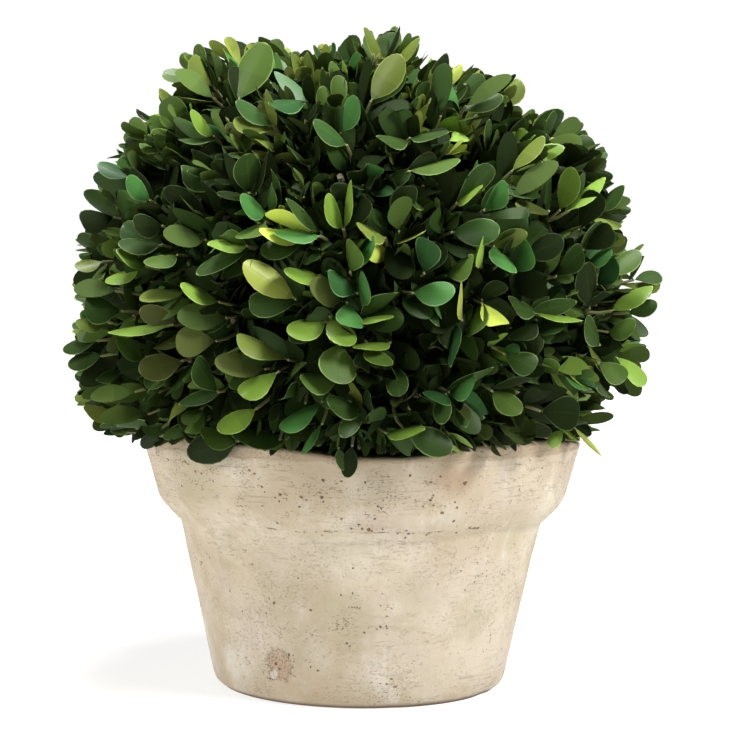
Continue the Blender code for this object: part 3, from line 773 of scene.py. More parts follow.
@dataclass
class Pot:
    """The low clay pot: a heavy rim with a rounded lower edge, a tapering body and a worn foot."""

    rim_radius: float = 0.1000
    height: float = 0.1135
    band_height: float = 0.0240
    shoulder_height: float = 0.0160
    rim_inner_radius: float = 0.0870
    floor_thickness: float = 0.0100
    floor_radius: float = 0.0590
    foot_radius: float = 0.0659
    taper: float = 0.2246
    foot_round: float = 0.0065
    lip_round: float = 0.0016
    band_taper: float = 14.0
    shoulder_round: float = 0.0150
    shoulder_slope: float = 42.0
    hollow_top: float = 0.35
    hollow_low: float = 0.12
    hollow_swell: float = 0.0006
    run_out: float = 0.0020
    steps: int = 288
    row: float = 0.0017
    wobble: float = 0.0011
    dents: float = 0.0005
    # Each worn place's degrees from +X, height, radius and depth.
    chips: tuple[tuple[float, float, float, float], ...] = (
        (-124.0, 0.1130, 0.0050, 0.0012),
        (-61.0, 0.1130, 0.0042, 0.0010),
        (35.0, 0.1128, 0.0060, 0.0014),
        (150.0, 0.1130, 0.0045, 0.0012),
        (-119.5, 0.0186, 0.0085, 0.0006),
        (-77.0, 0.0040, 0.0060, 0.0008),
        (-30.0, 0.0030, 0.0070, 0.0008),
        (95.0, 0.0035, 0.0065, 0.0009),
    )

    def body_radius(self, height: float) -> float:
        """Outside radius of the tapering body at a height."""
        return self.foot_radius + self.taper * height

    def inner_radius(self, height: float) -> float:
        """Inside radius of the wall at a height."""
        share = (height - self.floor_thickness) / (self.height - self.floor_thickness)
        return self.floor_radius + (self.rim_inner_radius - self.floor_radius) * share

    def profile(self) -> Profile:
        """The half section, from the inside floor up the wall, over the lip and down the outside."""
        lip_top = self.height - self.lip_round
        inside = [(0.0, self.floor_thickness), (self.floor_radius, self.floor_thickness)]
        inside.append((self.inner_radius(lip_top), lip_top))
        inside += arc((self.rim_inner_radius + self.lip_round, lip_top), self.lip_round, 150, 90, 3)
        lip = arc((self.rim_radius - self.lip_round, lip_top), self.lip_round, 90, -self.band_taper, 5)
        taper, swell = math.radians(self.band_taper), self.shoulder_round
        band_foot = self.rim_radius - self.band_height * math.tan(taper)
        band_low = self.height - self.band_height
        centre = (band_foot - swell * math.cos(taper), band_low + swell * math.sin(taper))
        shoulder = arc(centre, swell, -self.band_taper, -self.shoulder_slope, 6)
        low = band_low - self.shoulder_height
        hollow_top = low + self.hollow_top * self.shoulder_height
        slope = math.tan(math.radians(self.shoulder_slope))
        run_out = low - self.run_out
        hollow = [
            (shoulder[-1][0] - slope * (shoulder[-1][1] - hollow_top), hollow_top),
            (self.body_radius(low) + self.hollow_swell, low + self.hollow_low * self.shoulder_height),
            (self.body_radius(run_out), run_out),
        ]
        foot_centre = (self.body_radius(self.foot_round) - self.foot_round, self.foot_round)
        foot = arc(foot_centre, self.foot_round, -math.degrees(math.atan(self.taper)), -90, 8)
        return resampled(inside + lip + shoulder + hollow + foot, self.row) + [(0.0, 0.0)]

    def chip(self, azimuth: float, height: float, radius: float, depth: float) -> None:
        """Presses a worn place into the outside of the pot, which is the active object.

        Args:
            azimuth: the place's angle in degrees from +X.
            height: its height.
            radius: how far the place spreads.
            depth: how deep its middle is.
        """
        inward = -at_turn(azimuth, 1.0)
        outer = min(self.rim_radius, self.body_radius(height)) if height < 0.07 else self.rim_radius
        spot = Vector((0.0, 0.0, height)) - outer * inward
        move(depth * inward, lambda place: (place - spot).length < 0.45 * radius, radius)

    def raise_rim(self, azimuth: float, lift: float, spread: float) -> None:
        """Lifts the rim round one place, in degrees from +X."""
        spot = at_turn(azimuth, self.rim_radius, self.height)
        move((0.0, 0.0, lift), lambda place: (place - spot).length < 0.42 * spread, spread)

    def build(self, finish: ClayFinish, effects: Effects) -> bpy.types.Object:
        """Turns, wears and finishes the pot.

        Args:
            finish: the clay's finish.
            effects: the shared node groups.

        Returns:
            The pot.
        """
        piece = turn_profile("clay_pot", self.profile(), self.steps)
        add_relief(piece, 0.060, self.wobble, 1)
        add_relief(piece, 0.011, self.dents, 2)
        for chip in self.chips:
            self.chip(*chip)
        for rise in RIM_RISES:
            self.raise_rim(*rise)
        with editing(lambda place: place.z < 0.0006 or (place.z < 0.004 and place.xy.length < 0.055)):
            bpy.ops.transform.resize(value=(1.0, 1.0, 0.0), center_override=ORIGIN)
        dress(piece, 60.0, [finish.material(effects)])
        stand_for(piece, "pot")
        return piece


@dataclass
class PottingEarth:
    """The crumbly earth that fills the pot and rises a little to the stem."""

    top: float = 0.0945
    edge: float = 0.0915
    bottom: float = 0.0103
    flat_radius: float = 0.0231
    gap: float = 0.0004
    steps: int = 120
    row: float = 0.0028
    crumbs: float = 0.0030

    def build(self, pot: Pot, finish: CrumbFinish, effects: Effects) -> bpy.types.Object:
        """Turns the fill to the pot's inside and roughens its top.

        Args:
            pot: the pot that it fills.
            finish: the earth's finish.
            effects: the shared node groups.

        Returns:
            The earth.
        """
        edge_radius = pot.inner_radius(self.edge) - self.gap
        profile = [
            (0.0, self.top),
            (self.flat_radius, self.top),
            (0.70 * edge_radius, self.edge + 0.0014),
            (edge_radius, self.edge),
            (pot.inner_radius(self.bottom) - self.gap, self.bottom),
        ]
        profile = resampled(profile, self.row) + [(0.0, self.bottom)]
        piece = turn_profile("potting_earth", profile, self.steps)
        low, inside = self.edge - 0.0005, edge_radius - 0.001
        raised = [v.index for v in piece.data.vertices if v.co.z > low and v.co.xy.length < inside]
        piece.vertex_groups.new(name="top").add(raised, 1.0, "REPLACE")
        add_relief(piece, 0.006, self.crumbs, 3, mid_level=0.6, vertex_group="top")
        dress(piece, 55.0, [finish.material(effects)])
        stand_for(piece, "pot_fill")
        return piece


@dataclass
class Stem:
    """The short woody stem between the earth and the ball, flared at its foot."""

    foot: float = 0.0935
    top: float = 0.1122
    foot_radius: float = 0.0105
    top_radius: float = 0.0066
    lean: tuple[float, float] = (-0.0026, 0.0011)
    sides: int = 40
    rows: int = 16
    ridges: float = 0.0010

    def centre(self, share: float) -> Vector:
        """The middle of the stem at a share of its height."""
        sway = smooth_step((share - 0.1) / 0.8)
        return Vector((self.lean[0] * sway, self.lean[1] * sway, self.foot + (self.top - self.foot) * share))

    def build(self, finish: BarkFinish, effects: Effects) -> bpy.types.Object:
        """Extrudes the stem upward, ridges its bark and finishes it.

        Args:
            finish: the bark's finish.
            effects: the shared node groups.

        Returns:
            The stem.
        """
        settings = {"vertices": self.sides, "radius": self.foot_radius, "fill_type": "TRIFAN"}
        piece = new_primitive("woody_stem", bpy.ops.mesh.primitive_circle_add, location=ORIGIN, **settings)
        with editing():
            bpy.ops.transform.translate(value=self.centre(0.0))
            radius = self.foot_radius
            for row in range(1, self.rows + 1):
                share = row / self.rows
                wanted = self.top_radius + (self.foot_radius - self.top_radius) * (1.0 - share) ** 3
                step = self.centre(share) - self.centre((row - 1) / self.rows)
                bpy.ops.mesh.extrude_region_move(TRANSFORM_OT_translate={"value": step})
                size = (wanted / radius, wanted / radius, 1.0)
                bpy.ops.transform.resize(value=size, center_override=self.centre(share))
                radius = wanted
            bpy.ops.mesh.select_all(action="SELECT")
            bpy.ops.mesh.normals_make_consistent(inside=False)
        add_relief(piece, 0.0040, self.ridges, 3)
        dress(piece, 60.0, [finish.material(effects)])
        stand_for(piece, "stem")
        return piece


# --- The ball's outline and what grows to it ----------------------------------------------------------


def unit(azimuth: float, elevation: float) -> Vector:
    """The unit vector at this azimuth from +X and this elevation, both in degrees."""
    turn, rise = math.radians(azimuth), math.radians(elevation)
    across = math.cos(rise)
    return Vector((across * math.cos(turn), across * math.sin(turn), math.sin(rise)))


def spiral_directions(count: int) -> Iterator[Vector]:
    """Unit directions spread evenly over a sphere along a golden-angle spiral, from the top down."""
    for index in range(count):
        height = 1.0 - 2.0 * (index + 0.5) / count
        across = math.sqrt(1.0 - height * height)
        turn = index * GOLDEN_ANGLE
        yield Vector((across * math.cos(turn), across * math.sin(turn), height))


def random_vector(draw: random.Random) -> Vector:
    """A vector of three normal draws."""
    return Vector((draw.gauss(0.0, 1.0), draw.gauss(0.0, 1.0), draw.gauss(0.0, 1.0)))


@dataclass
class ClippedOutline:
    """The ball's outline: a smooth squarish ball, fuller or flatter where the shears left it so."""

    centre: Vector = field(default_factory=lambda: Vector((-0.0040, 0.0, 0.1770)))
    radius: float = 0.1330
    rise: float = 0.1185
    drop: float = 0.0700
    upper_roundness: float = 2.15
    lower_roundness: float = 4.0
    named: tuple[tuple[float, float, float, float], ...] = (
        (180.0, 59.0, 0.070, 9.0),
        (0.0, 66.0, -0.055, 9.0),
        (0.0, 36.0, 0.045, 5.0),
        (0.0, 17.0, -0.055, 5.0),
        (0.0, 3.0, 0.045, 5.0),
        (0.0, -25.0, -0.050, 4.0),
        (180.0, -23.0, 0.040, 6.0),
        (180.0, -2.0, -0.025, 6.0),
    )
    edge_from: float = -30.0
    edge_step: float = 8.0
    edge_shares: tuple[float, ...] = (
        0.981, 1.017, 1.024, 1.006, 1.036, 0.993, 0.990, 0.995, 1.002, 0.991, 0.991, 0.988, 0.974, 1.007,
        1.040, 1.010, 0.975, 0.984, 1.009, 1.013, 1.035, 1.001, 1.003, 1.026, 0.966, 0.970, 0.964, 0.968,
        1.009, 1.002, 1.014,
    )
    spare_count: int = 40
    spare_amount: float = 0.024
    spare_width: float = 8.0
    spare_distance: float = 14.0
    seed: int = 5

    def __post_init__(self) -> None:
        """Lays out every fuller or flatter place."""
        named = [(unit(azimuth, elevation), *rest) for azimuth, elevation, *rest in self.named]
        draw = random.Random(self.seed)
        spare = [
            (direction, draw.uniform(-self.spare_amount, self.spare_amount), self.spare_width)
            for direction in spiral_directions(self.spare_count)
        ]
        apart = math.radians(self.spare_distance)
        spare = [place for place in spare if all(place[0].angle(other[0]) > apart for other in named)]
        places = named + spare
        self._directions = np.array([tuple(place[0]) for place in places])
        self._amounts = np.array([place[1] for place in places])
        self._sharpness = np.array([math.radians(place[2]) ** -2 for place in places])
        self._edge_turns = self.edge_from + self.edge_step * np.arange(len(self.edge_shares))

    def reach(self, direction: Vector) -> float:
        """Distance from the ball's centre to its clipped outline along a unit direction."""
        facing = self._directions @ np.array(tuple(direction))
        share = 1.0 + float(self._amounts @ np.exp(self._sharpness * (facing - 1.0)))
        turn = (math.degrees(math.atan2(direction.z, direction.x)) + 90.0) % 360.0 - 90.0
        edge = float(np.interp(turn, self._edge_turns, self.edge_shares, 1.0, 1.0))
        share *= 1.0 + (edge - 1.0) * smooth_step((math.hypot(direction.x, direction.z) - 0.70) / 0.25)
        across = math.hypot(direction.x, direction.y) / self.radius
        if direction.z > 0.0:
            along, power = direction.z / self.rise, self.upper_roundness
        else:
            along, power = -direction.z / self.drop, self.lower_roundness
        return share * (across**power + along**power) ** (-1.0 / power)

    def point(self, direction: Vector, share: float) -> Vector:
        """The point at this share of the ball's reach along a unit direction."""
        return self.centre + share * self.reach(direction) * direction

    def share(self, point: Vector) -> float:
        """Where a point lies between the ball's centre, 0, and its clipped outline, 1."""
        offset = point - self.centre
        return offset.length / self.reach(offset.normalized())


@dataclass
class RimRoom:
    """The room that leaves and twigs leave round the pot's rim."""

    radius: float = 0.1000
    height: float = 0.1135
    gap: float = 0.0014

    def clears(self, point: Vector) -> bool:
        """True if a point is above the pot's rim or outside it."""
        beyond = math.hypot(point.x, point.y) > self.radius + self.gap
        return beyond or point.z > self.height + self.rise(point) + self.gap

    def rise(self, point: Vector) -> float:
        """How much higher the rim stands near a point."""
        most = 0.0
        for azimuth, lift, spread in RIM_RISES:
            turn = math.radians(azimuth)
            apart = math.hypot(point.x - self.radius * math.cos(turn), point.y - self.radius * math.sin(turn))
            most = max(most, lift * smooth_step(1.35 - apart / spread))
        return most


@dataclass
class Tubes:
    """Gathers tapering tubes that follow centre lines, and joins them into one mesh."""

    sides: int
    tubes: list[tuple[list[Vector], Iterable[float], int]] = field(default_factory=list)

    def add(self, line: list[Vector], radii: Iterable[float], young_from: int = 99) -> None:
        """Adds one tube.

        Args:
            line: its centre line.
            radii: its radius at each point of the line.
            young_from: the first stretch that takes the second material.
        """
        self.tubes.append((line, radii, young_from))

    def mesh(self, name: str) -> bpy.types.Mesh:
        """Joins the tubes.

        Args:
            name: the mesh's name.

        Returns:
            The mesh, each tube closed at both ends.
        """
        points, faces, slots = [], [], []
        for line, radii, young in self.tubes:
            start = len(points)
            side = None
            for index, (centre, radius) in enumerate(zip(line, radii)):
                ahead = line[min(index + 1, len(line) - 1)] - line[max(index - 1, 0)]
                ahead.normalize()
                side = ahead.orthogonal() if side is None else side - side.dot(ahead) * ahead
                side.normalize()
                other = ahead.cross(side)
                for corner in range(self.sides):
                    turn = math.tau * corner / self.sides
                    points.append(centre + radius * (math.cos(turn) * side + math.sin(turn) * other))
            for index in range(len(line) - 1):
                low, high = start + index * self.sides, start + (index + 1) * self.sides
                for corner in range(self.sides):
                    after = (corner + 1) % self.sides
                    faces.append((low + corner, low + after, high + after, high + corner))
                    slots.append(int(index >= young))
            last = start + (len(line) - 1) * self.sides
            faces.append(tuple(start + corner for corner in reversed(range(self.sides))))
            faces.append(tuple(last + corner for corner in range(self.sides)))
            slots += [0, int(len(line) - 2 >= young)]
        mesh = bpy.data.meshes.new(name)
        mesh.from_pydata(points, [], faces)
        mesh.polygons.foreach_set("material_index", slots)
        return mesh


Stations = tuple[tuple[float, float], ...]


@dataclass(frozen=True)
class LeafOutline:
    """A leaf's half width over its length, and shares of it at stations along the leaf."""

    aspect: float
    stations: Stations


class LeafForm(Enum):
    """The forms of leaf on the plant."""

    OVAL = LeafOutline(
        0.245,
        (
            (0.0, 0.0), (0.05, 0.10), (0.14, 0.38), (0.30, 0.77), (0.47, 0.97),
            (0.63, 0.99), (0.78, 0.85), (0.90, 0.60), (0.97, 0.33), (1.0, 0.0),
        ),
    )
    SPOON = LeafOutline(
        0.262,
        (
            (0.0, 0.0), (0.06, 0.09), (0.16, 0.30), (0.34, 0.65), (0.52, 0.92),
            (0.67, 1.0), (0.81, 0.93), (0.92, 0.68), (0.975, 0.36), (0.985, 0.0),
        ),
    )
    LANCE = LeafOutline(
        0.195,
        (
            (0.0, 0.0), (0.05, 0.14), (0.13, 0.44), (0.27, 0.82), (0.43, 0.99),
            (0.60, 0.96), (0.75, 0.76), (0.88, 0.47), (0.96, 0.23), (1.0, 0.0),
        ),
    )
    CLIPPED = LeafOutline(
        0.26,
        (
            (0.0, 0.0), (0.06, 0.13), (0.15, 0.38), (0.31, 0.74), (0.47, 0.95),
            (0.60, 1.0), (0.70, 0.98), (0.78, 0.86), (0.81, 0.50), (0.815, 0.0),
        ),
    )


OVAL, SPOON, LANCE, CLIPPED = LeafForm


@dataclass
class LeafPattern:
    """One leaf, modelled once at a length of 1, that every leaf of its form is copied from."""

    outline: LeafOutline
    plain: bool = False  # of few faces, for the shaded inside of the ball
    across: tuple[float, ...] = (-1.0, -0.935, -0.45, -0.045, 0.045, 0.45, 0.935, 1.0)
    across_plain: tuple[float, ...] = (-1.0, 0.0, 1.0)
    thickness: float = 0.011
    groove: float = 0.006

    def model(self) -> "LeafCopy":
        """Models the leaf as an upper and a lower sheet, joined at the edge.

        Returns:
            Its points and faces, ready to be copied.
        """
        rows = self.outline.stations
        if self.plain:
            rows = rows[:1] + rows[2:]
        end = rows[-1][0]
        sheets = []
        for side, depth in (("blade", self.groove), ("underside", self.thickness)):
            below = side == "underside"
            sheet = self._sheet(side, self.across_plain if self.plain or below else self.across, rows)
            depth += self.groove if self.plain and below else 0.0
            move((0.0, 0.0, -depth), lambda place: self._is_sunk(place, below, end))
            if below:
                with editing():
                    bpy.ops.mesh.flip_normals()
            for face in sheet.data.polygons:
                places = [sheet.data.vertices[index].co for index in face.vertices]
                face.material_index = self._part(places, side, end)
            sheets.append(sheet)
        select_only(*sheets)
        bpy.ops.object.join()
        weld(0.0003)
        copy = LeafCopy.read(sheets[0])
        bpy.data.objects.remove(sheets[0], do_unlink=True)
        return copy

    def _sheet(self, side: str, columns: tuple[float, ...], rows: Stations) -> bpy.types.Object:
        """A grid shaped row by row to the outline, its root and tip drawn to points."""
        count = (len(columns) - 1, len(rows) - 1)
        settings = {"x_subdivisions": count[0], "y_subdivisions": count[1], "size": 2.0}
        piece = new_primitive(f"leaf_{side}", bpy.ops.mesh.primitive_grid_add, **settings)
        for part in LEAF_PARTS:
            marker = f"leaf_part_{part}"
            piece.data.materials.append(bpy.data.materials.get(marker) or bpy.data.materials.new(marker))
        for index, (along, half) in enumerate(rows):
            level = -1.0 + 2.0 * index / count[1]
            width = max(half, 0.0001) * self.outline.aspect
            with editing(lambda place: place.z == 0.0 and abs(place.y - level) < 0.001):
                bpy.ops.transform.translate(value=(0.0, along - level, 1.0))
                bpy.ops.transform.resize(value=(width, 1.0, 1.0), center_override=ORIGIN)
        self._set_columns(piece, columns, rows)
        move((0.0, 0.0, -1.0))
        weld(0.0002)
        return piece

    def _set_columns(self, piece: bpy.types.Object, columns: tuple[float, ...], rows: Stations) -> None:
        """Moves the grid's inner columns across to their places."""
        halves = {round(along, 4): half * self.outline.aspect for along, half in rows}
        for vertex in piece.data.vertices:
            half = max(halves[round(vertex.co.y, 4)], 0.0001 * self.outline.aspect)
            index = round((vertex.co.x / half + 1.0) * 0.5 * (len(columns) - 1))
            vertex.co.x = columns[index] * half

    def _is_sunk(self, place: Vector, below: bool, end: float) -> bool:
        """True for a point of a sheet, the lower or the upper one, that lies deeper than its edge."""
        if self.plain:
            return abs(place.x) < 0.001 and 0.05 < place.y < end - 0.01
        if below:
            return not self._is_edge(place)
        return abs(place.x) < 0.013 and 0.06 < place.y < 0.94 * end

    def _part(self, places: list[Vector], side: str, end: float) -> int:
        """The slot of a face, by its side and its corners' places."""
        middle = sum(places, Vector()) / len(places)
        if side == "blade" and not self.plain:
            if any(self._is_edge(place) for place in places):
                return LEAF_PARTS.index("margin")
            if abs(middle.x) < 0.002 and 0.2 < middle.y < 0.9 * end:
                return LEAF_PARTS.index("midrib")
        return part_of(side, middle.y)

    def _is_edge(self, place: Vector) -> bool:
        """True for a point on the leaf's edge."""
        for along, half in self.outline.stations:
            if abs(place.y - along) < 0.0005:
                return abs(place.x) >= 0.97 * half * self.outline.aspect
        return False


@dataclass
class LeafCopy:
    """A modelled leaf as arrays, to be copied many times into one mesh."""

    points: np.ndarray
    corners: np.ndarray
    starts: np.ndarray
    slots: np.ndarray
    triangles: int

    @classmethod
    def read(cls, piece: bpy.types.Object) -> "LeafCopy":
        """Reads the arrays from a modelled piece."""
        mesh = piece.data
        points = np.empty(len(mesh.vertices) * 3)
        mesh.vertices.foreach_get("co", points)
        corners, starts, slots = (np.empty(len(rows), np.int32) for rows in (mesh.loops, *[mesh.polygons] * 2))
        mesh.loops.foreach_get("vertex_index", corners)
        mesh.polygons.foreach_get("loop_start", starts)
        mesh.polygons.foreach_get("material_index", slots)
        mesh.calc_loop_triangles()
        return cls(points.reshape(-1, 3), corners, starts, slots, len(mesh.loop_triangles))


@dataclass
class Leaf:
    """One leaf's place, facing and bend."""

    root: Vector
    along: Vector
    face: Vector
    length: float
    form: LeafForm
    tint: Tint
    cup: float
    curl: float
    twist: float
    widen: float = 1.0
    inner: bool = False

    def outline_points(self) -> list[Vector]:
        """The root, the tip and the two sides, as points in space."""
        side = self.along.cross(self.face)
        half = self.form.value.aspect * self.widen * self.length
        middle = self.root + 0.58 * self.length * self.along
        lift = (self.cup * half + self.curl * 0.34 * self.length) * self.face
        tip = self.root + self.length * self.along + self.curl * self.length * self.face
        return [self.root, tip, middle + half * side + lift, middle - half * side + lift]


def copied_points(copy: LeafCopy, leaves: list[Leaf]) -> np.ndarray:
    """The points of many leaves copied from one, each cupped, curled and twisted its own way.

    Args:
        copy: the leaf that they are copied from.
        leaves: where each stands.

    Returns:
        An array of leaves, points and coordinates.
    """
    bends = np.array([(leaf.length, leaf.widen, leaf.cup, leaf.curl, leaf.twist) for leaf in leaves])
    length, widen, cup, curl, twist = bends.T[..., None]
    aspect = leaves[0].form.value.aspect
    x, y, z = copy.points.T
    across = x * widen * length
    over = z * length + cup * aspect * length * np.abs(x / aspect) ** 1.8 + curl * length * y**2
    turn = twist * y
    across, over = across * np.cos(turn) - over * np.sin(turn), across * np.sin(turn) + over * np.cos(turn)
    frames = np.array([(*leaf.root, *leaf.along, *leaf.face) for leaf in leaves])[:, None, :]
    root, along, face = np.split(frames, 3, axis=-1)
    side = np.cross(along, face)
    return root + across[..., None] * side + (y * length)[..., None] * along + over[..., None] * face


def joined_copies(name: str, batches: list[tuple[LeafCopy, np.ndarray]]) -> bpy.types.Mesh:
    """One mesh of many copies.

    Args:
        name: the mesh's name.
        batches: each copied leaf with the points of its copies.

    Returns:
        The mesh.
    """
    points, corners, starts, slots = [], [], [], []
    base, corner_base = 0, 0
    for copy, places in batches:
        count, size = places.shape[:2]
        shifts = base + size * np.arange(count)[:, None]
        points.append(places.reshape(-1, 3))
        corners.append((copy.corners[None, :] + shifts).ravel())
        corner_shifts = corner_base + len(copy.corners) * np.arange(count)[:, None]
        starts.append((copy.starts[None, :] + corner_shifts).ravel())
        slots.append(np.tile(copy.slots, count))
        base += count * size
        corner_base += count * len(copy.corners)
    mesh = bpy.data.meshes.new(name)
    mesh.vertices.add(base)
    mesh.vertices.foreach_set("co", np.concatenate(points).ravel())
    mesh.loops.add(corner_base)
    mesh.loops.foreach_set("vertex_index", np.concatenate(corners))
    starts = np.concatenate(starts)
    mesh.polygons.add(len(starts))
    mesh.polygons.foreach_set("loop_start", starts)
    mesh.polygons.foreach_set("material_index", np.concatenate(slots))
    mesh.update(calc_edges=True)
    mesh.validate()
    return mesh


@dataclass(frozen=True)
class NamedLeaf:
    """One leaf that stands out from the rest, with its root and tip in millimetres."""

    root: tuple[float, float, float]
    tip: tuple[float, float, float]
    roll: float
    widen: float
    tint: Tint
    form: LeafForm
    shows_back: bool = False

    def leaf(self) -> Leaf:
        """The leaf, rolled about its length from the way that faces the front."""
        root, tip = Vector(self.root) / 1000.0, Vector(self.tip) / 1000.0
        along = (tip - root).normalized()
        front = Vector((0.0, -1.0, 0.0))
        facing = (front - front.dot(along) * along).normalized()
        upward = along.cross(facing)
        if upward.z < 0.0:
            upward = -upward
        roll = math.radians(self.roll)
        facing = math.cos(roll) * facing + math.sin(roll) * upward
        if self.shows_back:
            facing = -facing
        bend = {"cup": -0.24, "curl": -0.06, "twist": 0.0, "widen": self.widen}
        return Leaf(root, along, facing, (tip - root).length, self.form, self.tint, **bend)


